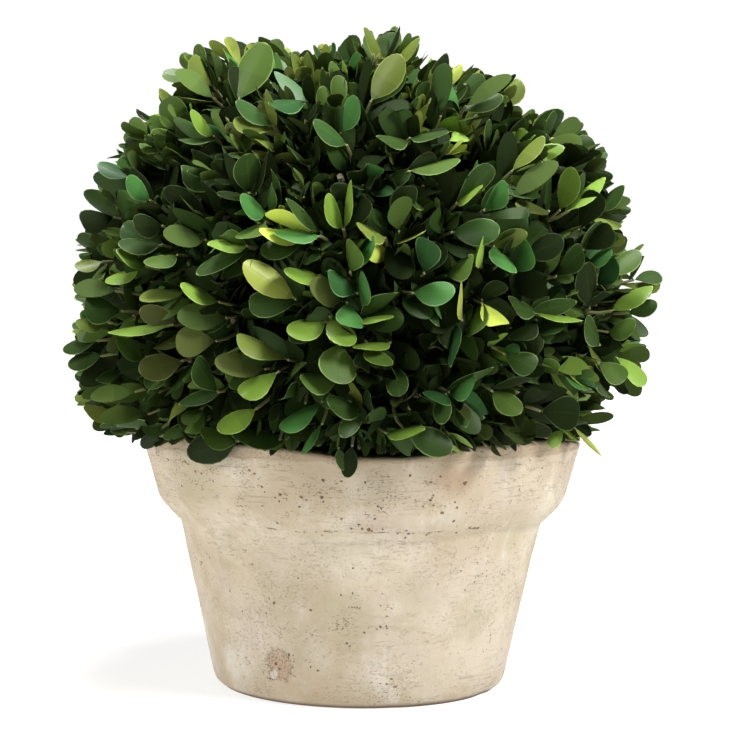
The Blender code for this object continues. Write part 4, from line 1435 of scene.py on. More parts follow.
# What stands out in the ball, leaf by leaf, as NamedLeaf takes it.
NAMED_LEAVES = tuple(NamedLeaf(*row) for row in (
    ((-27.6, -121.5, 179.6), (-47.6, -129.3, 194.4), 29, 0.98, YELLOW, OVAL),
    ((-21.1, -119.5, 206.3), (-39.4, -128.4, 213.3), -61, 1.11, LIME, SPOON),
    ((-25.2, -118.0, 203.4), (-41.3, -129.4, 207.6), 65, 1.26, LIME, OVAL),
    ((-17.8, -123.0, 205.1), (-36.0, -131.0, 206.9), 63, 1.60, EMERALD, LANCE),
    ((-40.2, -110.5, 214.2), (-49.4, -122.7, 219.2), 51, 1.59, EMERALD, OVAL),
    ((-40.5, -112.0, 210.5), (-49.8, -126.8, 204.7), 63, 1.39, FOREST, OVAL),
    ((-47.8, -112.0, 200.7), (-63.0, -121.8, 202.1), 67, 1.77, MEADOW, LANCE),
    ((-65.8, -99.5, 202.9), (-82.6, -110.2, 203.9), 43, 1.28, DEEP, OVAL, True),
    ((-85.4, -85.0, 200.5), (-102.0, -94.3, 201.2), 57, 1.34, DEEP, OVAL),
    ((-91.3, -87.5, 191.6), (-102.8, -94.3, 198.6), 66, 2.13, MEADOW, LANCE),
    ((-77.6, -96.5, 196.5), (-88.9, -108.5, 193.2), 60, 1.52, FOREST, OVAL),
    ((-59.2, -109.5, 177.6), (-73.6, -119.2, 185.0), 65, 1.35, MEADOW, OVAL),
    ((-74.3, -99.5, 181.3), (-91.7, -108.0, 176.7), 62, 1.29, OLIVE, OVAL, True),
    ((-56.3, -109.0, 171.1), (-76.0, -118.3, 170.8), 27, 1.17, DEEP, OVAL, True),
    ((-60.2, -110.0, 161.6), (-76.8, -117.3, 161.3), 0, 1.35, RUSSET, SPOON, True),
    ((-79.3, -98.0, 167.5), (-106.4, -97.1, 165.4), 72, 1.18, MEADOW, LANCE),
    ((-30.3, -118.5, 154.7), (-50.1, -129.6, 164.7), 56, 0.96, OLIVE, SPOON),
    ((-39.8, -114.0, 150.6), (-60.3, -124.8, 152.6), 38, 1.10, RUSSET, OVAL, True),
    ((-34.3, -118.0, 149.7), (-49.2, -126.6, 141.2), 44, 1.24, MEADOW, SPOON),
    ((-106.3, -69.5, 180.5), (-124.1, -67.3, 180.7), 51, 1.42, DEEP, OVAL, True),
    ((-103.6, -66.5, 171.9), (-118.2, -76.9, 173.7), 26, 1.48, DEEP, SPOON),
    ((-116.6, -47.5, 157.9), (-132.2, -45.5, 155.0), 60, 1.59, DEEP, OVAL),
    ((-113.7, -52.5, 151.6), (-129.3, -50.5, 148.7), 53, 1.60, DEEP, OVAL),
    ((-97.3, -71.5, 137.5), (-116.2, -70.8, 134.2), 56, 1.33, FOREST, OVAL, True),
    ((-110.6, -20.5, 124.6), (-122.5, -34.0, 126.0), 57, 1.33, YELLOW, SPOON),
    ((-92.2, -66.0, 127.6), (-113.0, -64.4, 124.6), 54, 1.21, FOREST, OVAL, True),
    ((-43.6, -108.0, 133.7), (-59.2, -113.6, 125.7), 49, 1.39, MEADOW, OVAL),
    ((-50.9, -86.0, 119.2), (-65.2, -105.0, 122.8), 52, 0.99, FOREST, SPOON),
    ((-31.9, -97.5, 120.1), (-52.6, -114.3, 124.2), 55, 1.19, DEEP, LANCE),
    ((-16.3, -116.5, 137.6), (-33.0, -124.4, 127.4), 56, 1.13, EMERALD, SPOON),
    ((-17.7, -121.0, 189.4), (-30.5, -134.4, 190.7), 61, 1.37, MEADOW, OVAL),
    ((-15.0, -124.0, 170.5), (-29.5, -135.0, 166.8), 44, 1.37, MEADOW, OVAL),
    ((-8.6, -118.5, 208.1), (-14.6, -130.3, 221.1), 59, 1.37, MEADOW, OVAL),
    ((-8.2, -118.5, 208.1), (-6.7, -127.8, 227.7), 75, 1.48, MEADOW, LANCE),
    ((-17.5, -118.0, 206.8), (-30.7, -127.9, 220.6), 69, 1.49, DEEP, LANCE),
    ((-5.6, -120.0, 194.8), (3.6, -134.0, 203.8), 54, 1.34, EMERALD, OVAL),
    ((-5.5, -123.0, 190.8), (-4.4, -135.7, 201.7), 50, 1.42, FOREST, SPOON),
    ((-2.6, -124.5, 182.4), (-13.3, -136.9, 189.3), 54, 1.34, SPRUCE, SPOON),
    ((-8.6, -119.5, 179.0), (-22.5, -135.4, 185.2), 32, 1.16, RUSSET, OVAL, True),
    ((-0.9, -122.0, 177.1), (-0.6, -136.4, 189.5), 67, 1.34, EMERALD, OVAL),
    ((-6.6, -126.0, 178.4), (-4.0, -136.9, 169.6), 36, 1.67, EMERALD, SPOON),
    ((-13.3, -125.5, 172.6), (-4.7, -136.8, 162.4), 42, 1.45, MEADOW, OVAL),
    ((-9.6, -124.0, 161.7), (-9.3, -135.8, 147.1), 25, 1.85, FOREST, OVAL),
    ((-0.9, -123.0, 171.9), (11.5, -135.6, 174.1), 81, 1.80, MEADOW, LANCE),
    ((11.0, -119.5, 162.2), (-3.5, -134.7, 161.9), 79, 1.53, MEADOW, LANCE),
    ((2.9, -121.0, 160.9), (9.4, -134.6, 154.5), 54, 1.56, FOREST, OVAL),
    ((24.5, -118.0, 190.7), (25.1, -131.7, 203.7), 32, 1.26, SPRUCE, SPOON),
    ((20.0, -121.5, 182.6), (36.2, -130.6, 183.9), 39, 1.37, EMERALD, OVAL),
    ((8.5, -117.0, 204.7), (-1.3, -132.6, 209.3), 67, 1.34, OLIVE, OVAL),
    ((14.1, -114.5, 207.6), (12.9, -129.2, 221.5), 32, 1.18, DEEP, SPOON, True),
    ((35.8, -112.0, 207.4), (54.4, -121.2, 208.5), 23, 1.23, GLOSSY, OVAL),
    ((48.4, -109.0, 193.7), (48.3, -124.1, 203.6), 73, 1.42, SPRING, OVAL),
    ((33.5, -114.0, 189.9), (43.0, -127.8, 195.5), 49, 1.35, FOREST, SPOON),
    ((48.5, -111.5, 178.6), (57.8, -122.1, 169.0), 51, 1.40, LIME, CLIPPED),
    ((40.4, -113.0, 171.6), (40.3, -128.7, 187.1), 79, 1.46, YELLOW, LANCE),
    ((35.6, -111.5, 142.0), (44.2, -126.2, 146.4), 56, 1.36, EMERALD, SPOON),
    ((34.3, -111.5, 141.1), (28.2, -126.3, 140.9), 63, 1.59, SPRUCE, OVAL),
    ((10.0, -110.5, 124.7), (25.2, -124.5, 128.6), 73, 1.53, MEADOW, LANCE),
    ((18.1, -114.0, 125.9), (37.9, -112.6, 118.7), 23, 1.21, DEEP, OVAL),
    ((-9.9, -118.5, 147.2), (-22.9, -134.8, 146.9), 47, 1.15, FOREST, SPOON),
    ((-16.3, -114.5, 128.4), (-25.6, -111.6, 116.1), 75, 2.04, EMERALD, LANCE),
    ((0.0, -115.0, 134.4), (-12.8, -132.3, 138.8), 54, 1.16, DEEP, OVAL),
    ((66.8, -97.0, 197.9), (81.9, -103.1, 205.2), 30, 1.43, NIGHT, OVAL),
    ((77.5, -83.5, 216.8), (62.7, -98.3, 216.9), 59, 1.21, RUSSET, OVAL, True),
    ((61.2, -93.5, 222.3), (80.7, -91.5, 236.3), 48, 1.06, DEEP, OVAL, True),
    ((61.5, -86.5, 233.3), (73.9, -85.6, 248.9), 62, 1.28, OLIVE, OVAL),
    ((82.8, -75.5, 217.4), (86.8, -84.8, 234.9), 44, 1.26, MEADOW, OVAL),
    ((86.9, -73.0, 217.1), (101.7, -70.8, 232.6), 63, 1.49, SPRING, LANCE),
    ((91.5, -71.0, 209.5), (98.1, -78.0, 225.2), 26, 1.30, NIGHT, SPOON),
    ((93.8, -71.0, 200.6), (104.9, -76.8, 210.1), 34, 1.52, NIGHT, SPOON),
    ((102.8, -47.5, 217.1), (112.2, -50.8, 229.3), 63, 2.03, DEEP, LANCE),
    ((97.1, -67.5, 175.7), (94.5, -81.9, 194.8), 34, 1.06, NIGHT, OVAL),
    ((81.0, -83.5, 189.6), (90.1, -96.1, 201.1), 47, 1.23, DEEP, SPOON),
    ((108.0, -54.5, 174.2), (125.5, -52.3, 186.1), 58, 1.51, MEADOW, LANCE),
    ((121.6, -19.5, 187.1), (134.0, -16.9, 190.3), 57, 1.82, DEEP, SPOON),
    ((70.9, -97.5, 174.3), (91.3, -97.7, 172.5), 78, 1.57, MEADOW, LANCE),
    ((110.6, -51.0, 154.0), (125.4, -49.3, 143.5), 51, 1.31, SPRING, SPOON),
    ((101.9, -59.0, 152.1), (114.1, -63.1, 145.6), 40, 1.65, FOREST, SPOON),
    ((74.9, -88.0, 132.8), (91.4, -91.3, 132.4), 22, 1.81, NIGHT, SPOON),
    ((37.8, -108.0, 219.3), (46.9, -119.5, 226.5), 79, 1.96, MEADOW, LANCE),
    ((49.1, -104.0, 216.7), (57.4, -114.2, 226.4), 48, 1.46, EMERALD, SPOON),
    ((-55.3, -54.5, 263.3), (-44.5, -52.1, 289.0), 26, 1.24, FOREST, OVAL),
    ((7.3, -21.5, 284.8), (-0.4, -38.5, 296.4), 64, 1.46, OLIVE, LANCE),
    ((2.1, -72.0, 262.6), (14.1, -76.1, 282.2), 27, 1.22, OLIVE, OVAL),
    ((31.9, -72.0, 256.6), (34.5, -73.3, 278.9), 47, 1.06, SPRUCE, SPOON, True),
    ((11.8, -23.5, 283.8), (22.0, -40.4, 290.9), 60, 1.21, OLIVE, OVAL),
    ((-67.9, -24.0, 270.8), (-77.2, -31.3, 283.4), 49, 1.38, OLIVE, SPOON),
    ((-67.3, -37.5, 265.1), (-84.2, -36.9, 276.3), 50, 1.26, FOREST, OVAL, True),
    ((-38.8, -84.5, 251.3), (-53.6, -91.6, 261.1), 57, 1.34, GLOSSY, OVAL),
    ((-64.2, -74.5, 246.8), (-72.9, -83.8, 256.7), 66, 1.58, MEADOW, OVAL),
    ((-25.3, -76.0, 262.0), (-38.1, -93.8, 259.5), 54, 1.08, SPRUCE, SPOON),
    ((-7.6, -101.0, 242.7), (-20.6, -111.8, 251.8), 56, 1.33, GLOSSY, OVAL),
    ((-10.2, -94.0, 248.3), (-4.5, -103.6, 262.2), 48, 1.43, EMERALD, OVAL),
    ((-47.6, -103.0, 222.4), (-47.6, -114.6, 237.6), 26, 1.34, DEEP, OVAL),
    ((18.0, -97.5, 244.8), (7.1, -113.1, 245.2), 62, 1.26, DEEP, SPOON),
    ((18.4, -98.5, 246.0), (33.6, -111.2, 248.9), 73, 1.60, DEEP, LANCE),
    ((18.0, -108.0, 232.1), (38.0, -117.7, 237.3), 65, 1.12, FOREST, OVAL),
    ((42.9, -63.0, 261.5), (62.7, -64.2, 273.6), 54, 1.10, DEEP, OVAL, True),
    ((-51.8, -93.0, 119.0), (-75.8, -74.6, 110.5), 0, 0.91, NIGHT, OVAL),
    ((-86.4, -63.0, 121.4), (-98.4, -42.0, 109.7), 0, 0.51, NIGHT, SPOON),
    ((-3.9, -105.4, 118.7), (-5.9, -105.2, 105.3), 0, 1.08, NIGHT, OVAL),
    ((-9.7, -105.0, 117.7), (-7.5, -105.2, 108.2), 0, 1.10, DEEP, LANCE),
    ((87.2, -60.2, 122.5), (81.0, -68.4, 116.2), 0, 1.00, MEADOW, OVAL),
    ((92.5, -53.6, 123.3), (106.0, -47.0, 109.5), 0, 0.30, YELLOW, LANCE),
    ((53.4, -105.0, 201.9), (60.0, -120.6, 192.4), 56, 1.31, EMERALD, OVAL),
    ((63.0, -99.0, 191.3), (66.7, -115.2, 201.7), 51, 1.22, EMERALD, SPOON),
    ((95.8, -69.0, 195.5), (104.3, -79.9, 199.9), 51, 1.35, EMERALD, OVAL),
    ((100.2, -65.5, 186.0), (106.7, -77.9, 195.7), 39, 1.35, SPRUCE, OVAL),
    ((106.3, -59.5, 189.4), (118.9, -56.9, 201.2), 41, 1.35, FOREST, OVAL),
    ((116.0, -46.5, 173.1), (128.0, -50.9, 177.8), 37, 1.35, DEEP, OVAL),
    ((58.2, -106.0, 157.6), (70.4, -114.9, 152.9), 22, 1.35, DEEP, SPOON),
    ((53.5, -106.0, 142.2), (65.0, -113.9, 134.3), 31, 1.35, FOREST, OVAL),
    ((37.9, -113.5, 170.0), (34.3, -129.3, 153.7), 75, 1.35, SPRUCE, LANCE),
    ((48.6, -108.5, 179.8), (43.7, -122.9, 166.8), 60, 1.19, FOREST, SPOON),
    ((29.9, -118.0, 179.0), (30.8, -129.1, 174.5), 69, 1.35, EMERALD, OVAL),
    ((72.8, -94.0, 174.6), (61.4, -108.5, 179.1), 57, 1.26, DEEP, SPOON),
    ((72.0, -95.0, 171.3), (62.7, -110.1, 164.4), 58, 1.26, NIGHT, SPOON),
    ((102.5, -60.0, 159.6), (95.6, -75.0, 170.9), 51, 1.28, DEEP, OVAL),
    ((106.4, -55.5, 165.0), (116.0, -69.1, 168.8), 46, 1.35, FOREST, OVAL),
    ((-110.6, -37.5, 212.3), (-123.1, -50.0, 209.9), 23, 1.35, NIGHT, SPOON),
    ((-85.0, -84.5, 208.5), (-94.9, -98.6, 209.1), 26, 1.35, NIGHT, OVAL),
    ((-114.6, -47.0, 192.5), (-125.7, -52.9, 190.7), 47, 1.35, OLIVE, OVAL),
    ((-94.9, -81.0, 190.2), (-107.8, -90.1, 185.2), 60, 1.35, MEADOW, OVAL),
    ((-75.1, -97.5, 152.5), (-92.1, -105.6, 149.0), 25, 1.33, RUSSET, OVAL),
    ((-91.3, -85.5, 153.3), (-101.7, -98.3, 160.9), 58, 1.35, FOREST, OVAL),
    ((-59.7, -102.5, 140.1), (-67.3, -118.3, 153.4), 48, 1.08, DEEP, SPOON),
    ((-113.7, -46.5, 166.2), (-123.5, -58.9, 165.7), 53, 1.35, OLIVE, OVAL),
    ((-91.0, -75.5, 219.4), (-99.4, -85.4, 228.4), 45, 1.35, EMERALD, OVAL),
    ((-102.1, -60.0, 229.0), (-115.0, -60.1, 235.7), 47, 1.35, SPRUCE, OVAL),
))


@dataclass
class MainTwig:
    """One of the source's twigs: where it starts and ends."""

    start: Vector
    end: Vector


@dataclass
class Foliage:
    """The clipped ball: boughs, twigs and sprays of leaves that grow out to the outline."""

    outline: ClippedOutline = field(default_factory=ClippedOutline)
    room: RimRoom = field(default_factory=RimRoom)
    heart_share: float = 0.60
    heart_foot: float = 0.1230
    bough_count: int = 16
    neck_foot: Vector = field(default_factory=lambda: Vector((-0.0026, 0.0011, 0.1110)))
    fork: Vector = field(default_factory=lambda: Vector((-0.0035, 0.0008, 0.1440)))
    bough_share: float = 0.42
    twig_count: int = 126
    twig_root_share: float = 0.62
    twig_tip_share: float = 0.875
    twig_wander: float = 0.05
    neck_radii: tuple[float, ...] = (0.0082, 0.0084, 0.0096)
    bough_radii: tuple[float, ...] = (0.0062, 0.0050, 0.0042, 0.0034)
    twig_radii: tuple[float, ...] = (0.0034, 0.0029, 0.0024, 0.0019, 0.0013)
    shoot_radii: tuple[float, ...] = (0.00125, 0.0011, 0.00098, 0.00086, 0.00074, 0.0006)
    spray_count: int = 800
    spray_wander: float = 0.055
    spray_tips: tuple[float, float] = (0.79, 0.925)
    spray_tilt: float = 0.15
    flow_tilt: float = 0.20
    side_level: float = 0.45
    node_step: float = 0.0058
    leaf_length: float = 0.0245
    node_sizes: tuple[float, ...] = (0.66, 0.88, 1.0, 1.0, 0.96, 0.9)
    node_openings: tuple[float, ...] = (10.0, 19.0, 27.0, 33.0, 38.0, 42.0)
    # At each pair from the tip, the share of leaves that keep their spray's tint; the rest go dark, partly for
    # age and partly as painted shade deeper in the ball.
    node_age_and_shade: tuple[float, ...] = (0.88, 0.76, 0.56, 0.38, 0.22, 0.18)
    young_share: float = 0.22
    form_weights: tuple[float, ...] = (38, 38, 18, 6)  # in the order of LeafForm
    tip_limit: float = 1.02
    inner_count: int = 300
    inner_tips: tuple[float, float] = (0.66, 0.78)
    skirt_count: int = 90
    skirt_radius: tuple[float, float] = (0.1030, 0.1130)
    skirt_height: tuple[float, float] = (0.1105, 0.1175)
    skirt_droop: tuple[float, float] = (0.15, 0.75)
    cell_size: float = 0.022
    sharp_from: float = 42.0  # degrees between two faces
    seed: int = 5
    spray_seed: int = 11

    def __post_init__(self) -> None:
        """Starts with nothing grown."""
        self.draw = random.Random(self.spray_seed)
        self.twigs: list[MainTwig] = []
        self.wood = Tubes(9)
        self.shoots = Tubes(5)
        self.leaves: list[Leaf] = []
        self.buds: list[tuple[Vector, Vector, float]] = []
        self.cells: dict[tuple[int, ...], list[BVHTree]] = {}
        self.named_leaves = [named.leaf() for named in NAMED_LEAVES]
        roots = [leaf.root for leaf in self.named_leaves]
        tips = [leaf.root + leaf.length * leaf.along for leaf in self.named_leaves]
        self.named_roots, self.named_tips = (self._seen_from_front(places) for places in (roots, tips))
        halves = [0.8 * leaf.form.value.aspect * leaf.widen * leaf.length for leaf in self.named_leaves]
        self.named_halves = np.array(halves)
        self.named_trees: list[BVHTree] = []

    # Limbs

    def grow_limbs(self) -> None:
        """Grows the neck, the boughs and the source's twigs, each from the limb nearest to it."""
        neck = [self.neck_foot, self.neck_foot.lerp(self.fork, 0.5) + Vector((0.0006, 0.0, 0.0)), self.fork]
        self.wood.add(neck, self.neck_radii)
        ends = []
        for direction in spiral_directions(self.bough_count):
            end = self.outline.point(direction, self.bough_share)
            end.z = max(end.z, self.fork.z - 0.004)
            middle = self.fork.lerp(end, 0.5) + Vector((0.0, 0.0, 0.006))
            self.wood.add([self.fork, self.fork.lerp(middle, 0.6), middle, end], self.bough_radii)
            ends.append(end)
        draw = random.Random(self.seed)
        for direction in spiral_directions(self.twig_count):
            heading = (direction + self.twig_wander * random_vector(draw)).normalized()
            draw.uniform(0.0, math.tau)  # the source turns its leaves by this, and later draws follow it
            start = self.outline.point(direction, self.twig_root_share)
            end = self.outline.point(heading, self.twig_tip_share)
            if not self.room.clears(end):
                continue
            root = min(ends, key=lambda place: (place - start).length)
            bend = root.lerp(start, 0.5) + 0.006 * (start - self.outline.centre).normalized()
            self.wood.add([root, bend, start, start.lerp(end, 0.5), end], self.twig_radii)
            self.twigs.append(MainTwig(start, end))

    def _nearest_twig(self, place: Vector) -> MainTwig:
        """The twig whose outer end comes nearest to a place."""
        return min(self.twigs, key=lambda other: (other.start.lerp(other.end, 0.8) - place).length)

    # Named leaves

    def _seen_from_front(self, places: list[Vector]) -> np.ndarray:
        """Each place across and up the view from the front, and how far back it is."""
        x, y, z = np.array([tuple(place) for place in places]).T
        far = (y - EYE[1]) / -EYE[1]
        return np.stack([(x - EYE[0]) / far, (z - EYE[2]) / far, y], axis=-1)

    def _hides_named(self, leaf: Leaf) -> bool:
        """True if a leaf stands in front of a named leaf, seen from the front."""
        points = leaf.outline_points()
        points.append(points[0].lerp(points[1], 0.55))
        places = self._seen_from_front(points)[1:, None, :]
        run = self.named_tips - self.named_roots
        offset = places - self.named_roots
        along = np.sum(offset[..., :2] * run[:, :2], axis=-1) / np.sum(run[:, :2] ** 2, axis=-1)
        along = np.clip(along, 0.0, 1.0)[..., None]
        apart = np.linalg.norm((offset - along * run)[..., :2], axis=-1)
        ahead = (offset - along * run)[..., 2] < -0.0005
        return bool(np.any(ahead & (apart < self.named_halves)))

    def grow_named_leaves(self) -> None:
        """Grows a shoot from the nearest twig to each named leaf, with a few plainer leaves behind it."""
        for leaf in self.named_leaves:
            self.named_trees.append(self._tree(leaf))
            self.leaves.append(leaf)
        for leaf in self.named_leaves:
            radial = (leaf.root - self.outline.centre).normalized()
            twig = self._nearest_twig(leaf.root)
            heading = (0.5 * leaf.along + 0.7 * radial).normalized()
            line = self._shoot(twig.start.lerp(twig.end, 0.35), leaf.root, heading)
            side = heading.orthogonal().normalized()
            tint = self.tint_of(radial)
            back = 0.003
            for node in (2, 3, 4):
                joint, ahead = self._along(line, back)
                for turn in (0.0, math.pi):
                    self.grow_leaf(joint, ahead, side, turn + 0.5 * math.pi * node, node, tint, 0.95, node > 2)
                back += self.node_step

    def _shoot(self, root: Vector, tip: Vector, heading: Vector) -> list[Vector]:
        """Adds a curved shoot that ends at its tip along its heading, and returns its line."""
        bend = tip - 0.5 * (tip - root).length * heading
        steps = [step / 5 for step in range(6)]
        line = [(1 - s) ** 2 * root + 2 * s * (1 - s) * bend + s * s * tip for s in steps]
        self.shoots.add(line, self.shoot_radii, young_from=3)
        return line

    # Sprays

    def grow_sprays(self) -> None:
        """Grows a leafy spray toward each direction of a finer spiral, from the nearest twig."""
        for direction in spiral_directions(self.spray_count):
            wanted = (direction + self.spray_wander * random_vector(self.draw)).normalized()
            self.grow_spray(wanted, self.draw.uniform(*self.spray_tips))
        for direction in spiral_directions(self.inner_count):
            wanted = (direction + self.spray_wander * random_vector(self.draw)).normalized()
            self.grow_spray(wanted, self.draw.uniform(*self.inner_tips), inner=True)

        for number in range(self.skirt_count):
            turn = math.tau * (number + self.draw.uniform(-0.4, 0.4)) / self.skirt_count
            outward = Vector((math.cos(turn), math.sin(turn), 0.0))
            tip = self.draw.uniform(*self.skirt_radius) * outward
            tip.z = self.draw.uniform(*self.skirt_height)
            offset = tip - self.outline.centre
            direction = offset.normalized()
            share = min(self.outline.share(tip), 0.95)
            droop = Vector((0.0, 0.0, -self.draw.uniform(*self.skirt_droop)))
            self.grow_spray(direction, share, lean=0.6 * outward + droop)

    def flow(self, direction: Vector) -> Vector:
        """The way that neighbouring sprays lean together, which changes slowly over the ball."""
        waves = direction * 3.1 + Vector((0.7, 2.1, 4.4))
        phases = (2.0 * waves.z + waves.y, 2.2 * waves.x + 1.3, 1.9 * waves.y + waves.x)
        lean = Vector([math.sin(phase) for phase in phases])
        return lean - lean.dot(direction) * direction

    def grow_spray(
        self, direction: Vector, share: float, inner: bool = False, lean: Vector | None = None
    ) -> None:
        """Grows one spray, if its tip has room.

        Args:
            direction: where its tip is, seen from the ball's centre.
            share: how far out its tip is, as a share of the ball's reach.
            inner: whether it stays in the shade inside the ball.
            lean: which way it leans, if not with its neighbours.
        """
        tip = self.outline.point(direction, share)
        while not self.room.clears(tip):
            share -= 0.03
            if share < 0.66:
                return
            tip = self.outline.point(direction, share)
        twig = self._nearest_twig(tip)
        root = twig.start.lerp(twig.end, self.draw.uniform(0.02, 0.45))
        run = tip - root
        lean = self.flow_tilt * self.flow(direction) if lean is None else lean
        heading = 0.8 * direction + 0.4 * run.normalized() + lean
        heading.z *= 1.0 - self.side_level * smooth_step((abs(direction.x) - 0.35) / 0.5)
        heading = (heading + self.spray_tilt * random_vector(self.draw)).normalized()
        line = self._shoot(root, tip, heading)
        if not inner:
            self.buds.append((tip, heading, self.draw.uniform(0.7, 1.2)))
        # Painted shade: the sprays inside the ball all take the darkest tint.
        tint = NIGHT if inner else self.tint_of(direction)
        side = heading.orthogonal().normalized()
        side = Matrix.Rotation(self.draw.uniform(0.0, math.tau), 3, heading) @ side
        length = sum((b - a).length for a, b in zip(line, line[1:]))
        vigour = self.draw.uniform(0.86, 1.10) * (1.0 - 0.10 * smooth_step(direction.x / 0.4))
        back = 0.0004
        for node in range(2 * int(inner), len(self.node_sizes)):
            if back > 0.85 * length:
                break
            joint, ahead = self._along(line, back)
            for half in range(2):
                turn = 0.5 * math.pi * node + math.pi * half
                self.grow_leaf(joint, ahead, side, turn, node, tint, vigour, inner or node >= 3)
            back += self.node_step * self.draw.uniform(0.85, 1.15)

    def _along(self, line: list[Vector], back: float) -> tuple[Vector, Vector]:
        """The point this far back from a line's end, and the way that the line runs there."""
        for start, end in zip(line[-2::-1], line[:0:-1]):
            step = (end - start).length
            if back <= step:
                return end.lerp(start, back / step), (end - start).normalized()
            back -= step
        return line[0], (line[1] - line[0]).normalized()

    def grow_leaf(
        self,
        joint: Vector,
        ahead: Vector,
        side: Vector,
        turn: float,
        node: int,
        tint: Tint,
        vigour: float,
        inner: bool,
    ) -> None:
        """Adds a leaf at a joint, if it fits.

        Args:
            joint: where its stalk stands.
            ahead: the way that its shoot runs.
            side: a direction square to the shoot, from which turn is counted.
            turn: how far round the shoot it stands.
            node: which pair it belongs to, counted from the tip.
            tint: its spray's tint.
            vigour: how large its spray's leaves are.
            inner: whether it is a leaf of few faces, in the shade.
        """
        draw = self.draw
        for attempt in range(5):
            turned = turn + draw.uniform(-0.35, 0.35)
            opening = math.radians(self.node_openings[node] + draw.uniform(-13.0, 13.0))
            outward = Matrix.Rotation(turned, 3, ahead) @ side
            along = math.cos(opening) * ahead + math.sin(opening) * outward
            face = math.sin(opening) * ahead - math.cos(opening) * outward
            roll = Matrix.Rotation(draw.gauss(0.0, 0.55), 3, along)
            face = (roll @ face).normalized()
            size = self.node_sizes[node] * vigour * draw.uniform(0.88, 1.10) * (1.0 - 0.07 * attempt)
            leaf = Leaf(
                root=joint,
                along=along.normalized(),
                face=face,
                length=size * self.leaf_length,
                form=self._form(),
                tint=self._leaf_tint(tint, node),
                cup=draw.uniform(-0.36, 0.06) if draw.random() < 0.65 else draw.uniform(-0.80, -0.36),
                curl=draw.uniform(-0.30, 0.12),
                twist=draw.gauss(0.0, 0.28),
                widen=draw.uniform(0.82, 1.10),
                inner=inner,
            )
            strict = not inner and (node < 2 or attempt < 3)
            if self._fits(leaf) and self._is_free(leaf, strict):
                self.leaves.append(leaf)
                return

    def _form(self) -> LeafForm:
        """Draws a leaf's form."""
        return self.draw.choices(list(LeafForm), weights=self.form_weights)[0]

    def _fits(self, leaf: Leaf) -> bool:
        """True if a leaf stays in the ball's outline and clear of the pot."""
        points = leaf.outline_points()
        points.append(points[0].lerp(points[1], 0.5))
        inside = all(self.room.clears(point) for point in points)
        return inside and self.outline.share(points[1]) < self.tip_limit

    def _tree(self, leaf: Leaf) -> BVHTree:
        """A leaf's blade as two triangles, for telling what cuts through it."""
        root, tip, left, right = leaf.outline_points()
        return BVHTree.FromPolygons([root.lerp(tip, 0.16), left, tip, right], [(0, 1, 2), (0, 2, 3)])

    def _is_free(self, leaf: Leaf, strict: bool) -> bool:
        """True if a leaf cuts through no named leaf, hides none, and, where strict, cuts through no other
        leaf. It then counts as placed.
        """
        tree = self._tree(leaf)
        if self._hides_named(leaf) or any(tree.overlap(other) for other in self.named_trees):
            return False
        middle = leaf.root + 0.55 * leaf.length * leaf.along
        cell = tuple(math.floor(value / self.cell_size) for value in middle)
        if strict:
            for near in product(*((level - 1, level, level + 1) for level in cell)):
                if any(tree.overlap(other) for other in self.cells.get(near, ())):
                    return False
        self.cells.setdefault(cell, []).append(tree)
        return True

    def _shade_heart_piece(self, effects: Effects) -> bpy.types.Object:
        """The close-grown inside of the ball, which lets no light through: a near-black mass whose darkness is
        painted shade.
        """
        settings = {"subdivisions": 6, "radius": 1.0, "location": ORIGIN}
        heart = new_primitive("painted_shade_heart", bpy.ops.mesh.primitive_ico_sphere_add, **settings)
        for vertex in heart.data.vertices:
            direction = vertex.co.normalized()
            place = self.outline.point(direction, self.heart_share)
            place.z = max(place.z, self.heart_foot)
            vertex.co = place
        add_relief(heart, 0.016, 0.020, 3)
        return dress(heart, 75.0, [SHADE_HEART.material(effects)])

    # Tints

    def tint_of(self, direction: Vector) -> Tint:
        """Draws a spray's tint by where it grows, and so paints light and shade: darker tints low, on the
        right, at the front, in the middle and at the upper left, where the ball lies in shade; lighter, more
        olive and yellow ones toward the top, the left and the edges, where light falls on or through the
        leaves.
        """
        right, up = direction.x, direction.z
        top = smooth_step((up - 0.45) / 0.45)
        left = smooth_step((-right - 0.10) / 0.6)
        edge = smooth_step((abs(right) - 0.75) / 0.22)
        low = smooth_step((0.15 - up) / 0.4)
        shaded = smooth_step((-direction.y - 0.45) / 0.4)
        far_right = smooth_step(right / 0.4) * (1.0 - top)
        upper_left = smooth_step((-right - 0.05) / 0.4) * smooth_step((up - 0.05) / 0.35)
        middle = smooth_step((0.5 - abs(right) - abs(up - 0.1)) / 0.3)
        # Painted light and shade: these weights lay dark tints where the ball is shaded and light ones where
        # light falls on or through it.
        weights = {
            NIGHT: 17.0 * (1.0 - top) * (1.0 - 0.6 * left) + 16.0 * low + 38.0 * shaded + 12.0 * far_right
            + 22.0 * upper_left + 16.0 * middle,
            DEEP: 28.0 * (1.0 - 0.5 * top) + 8.0 * shaded,
            SPRUCE: 9.0 + 6.0 * smooth_step(right + 0.3),
            FOREST: 24.0 + 14.0 * left - 8.0 * shaded - 8.0 * upper_left,
            EMERALD: 7.0 * (1.0 - 0.8 * left),
            OLIVE: 5.0 + 22.0 * top + 6.0 * left + 6.0 * edge,
            RUSSET: 1.0 + 6.0 * top + 2.0 * left,
            MEADOW: (8.0 + 12.0 * top + 6.0 * edge) * (1.0 - 0.6 * shaded) * (1.0 - 0.5 * upper_left),
            YELLOW: 0.8 + 10.0 * top * (1.0 - 0.4 * upper_left) + 4.0 * edge,
            LIME: 0.2,
            GLOSSY: 3.0,
            SPRING: 1.1 + 1.5 * top,
        }
        return self.draw.choices(list(weights), weights=list(weights.values()))[0]

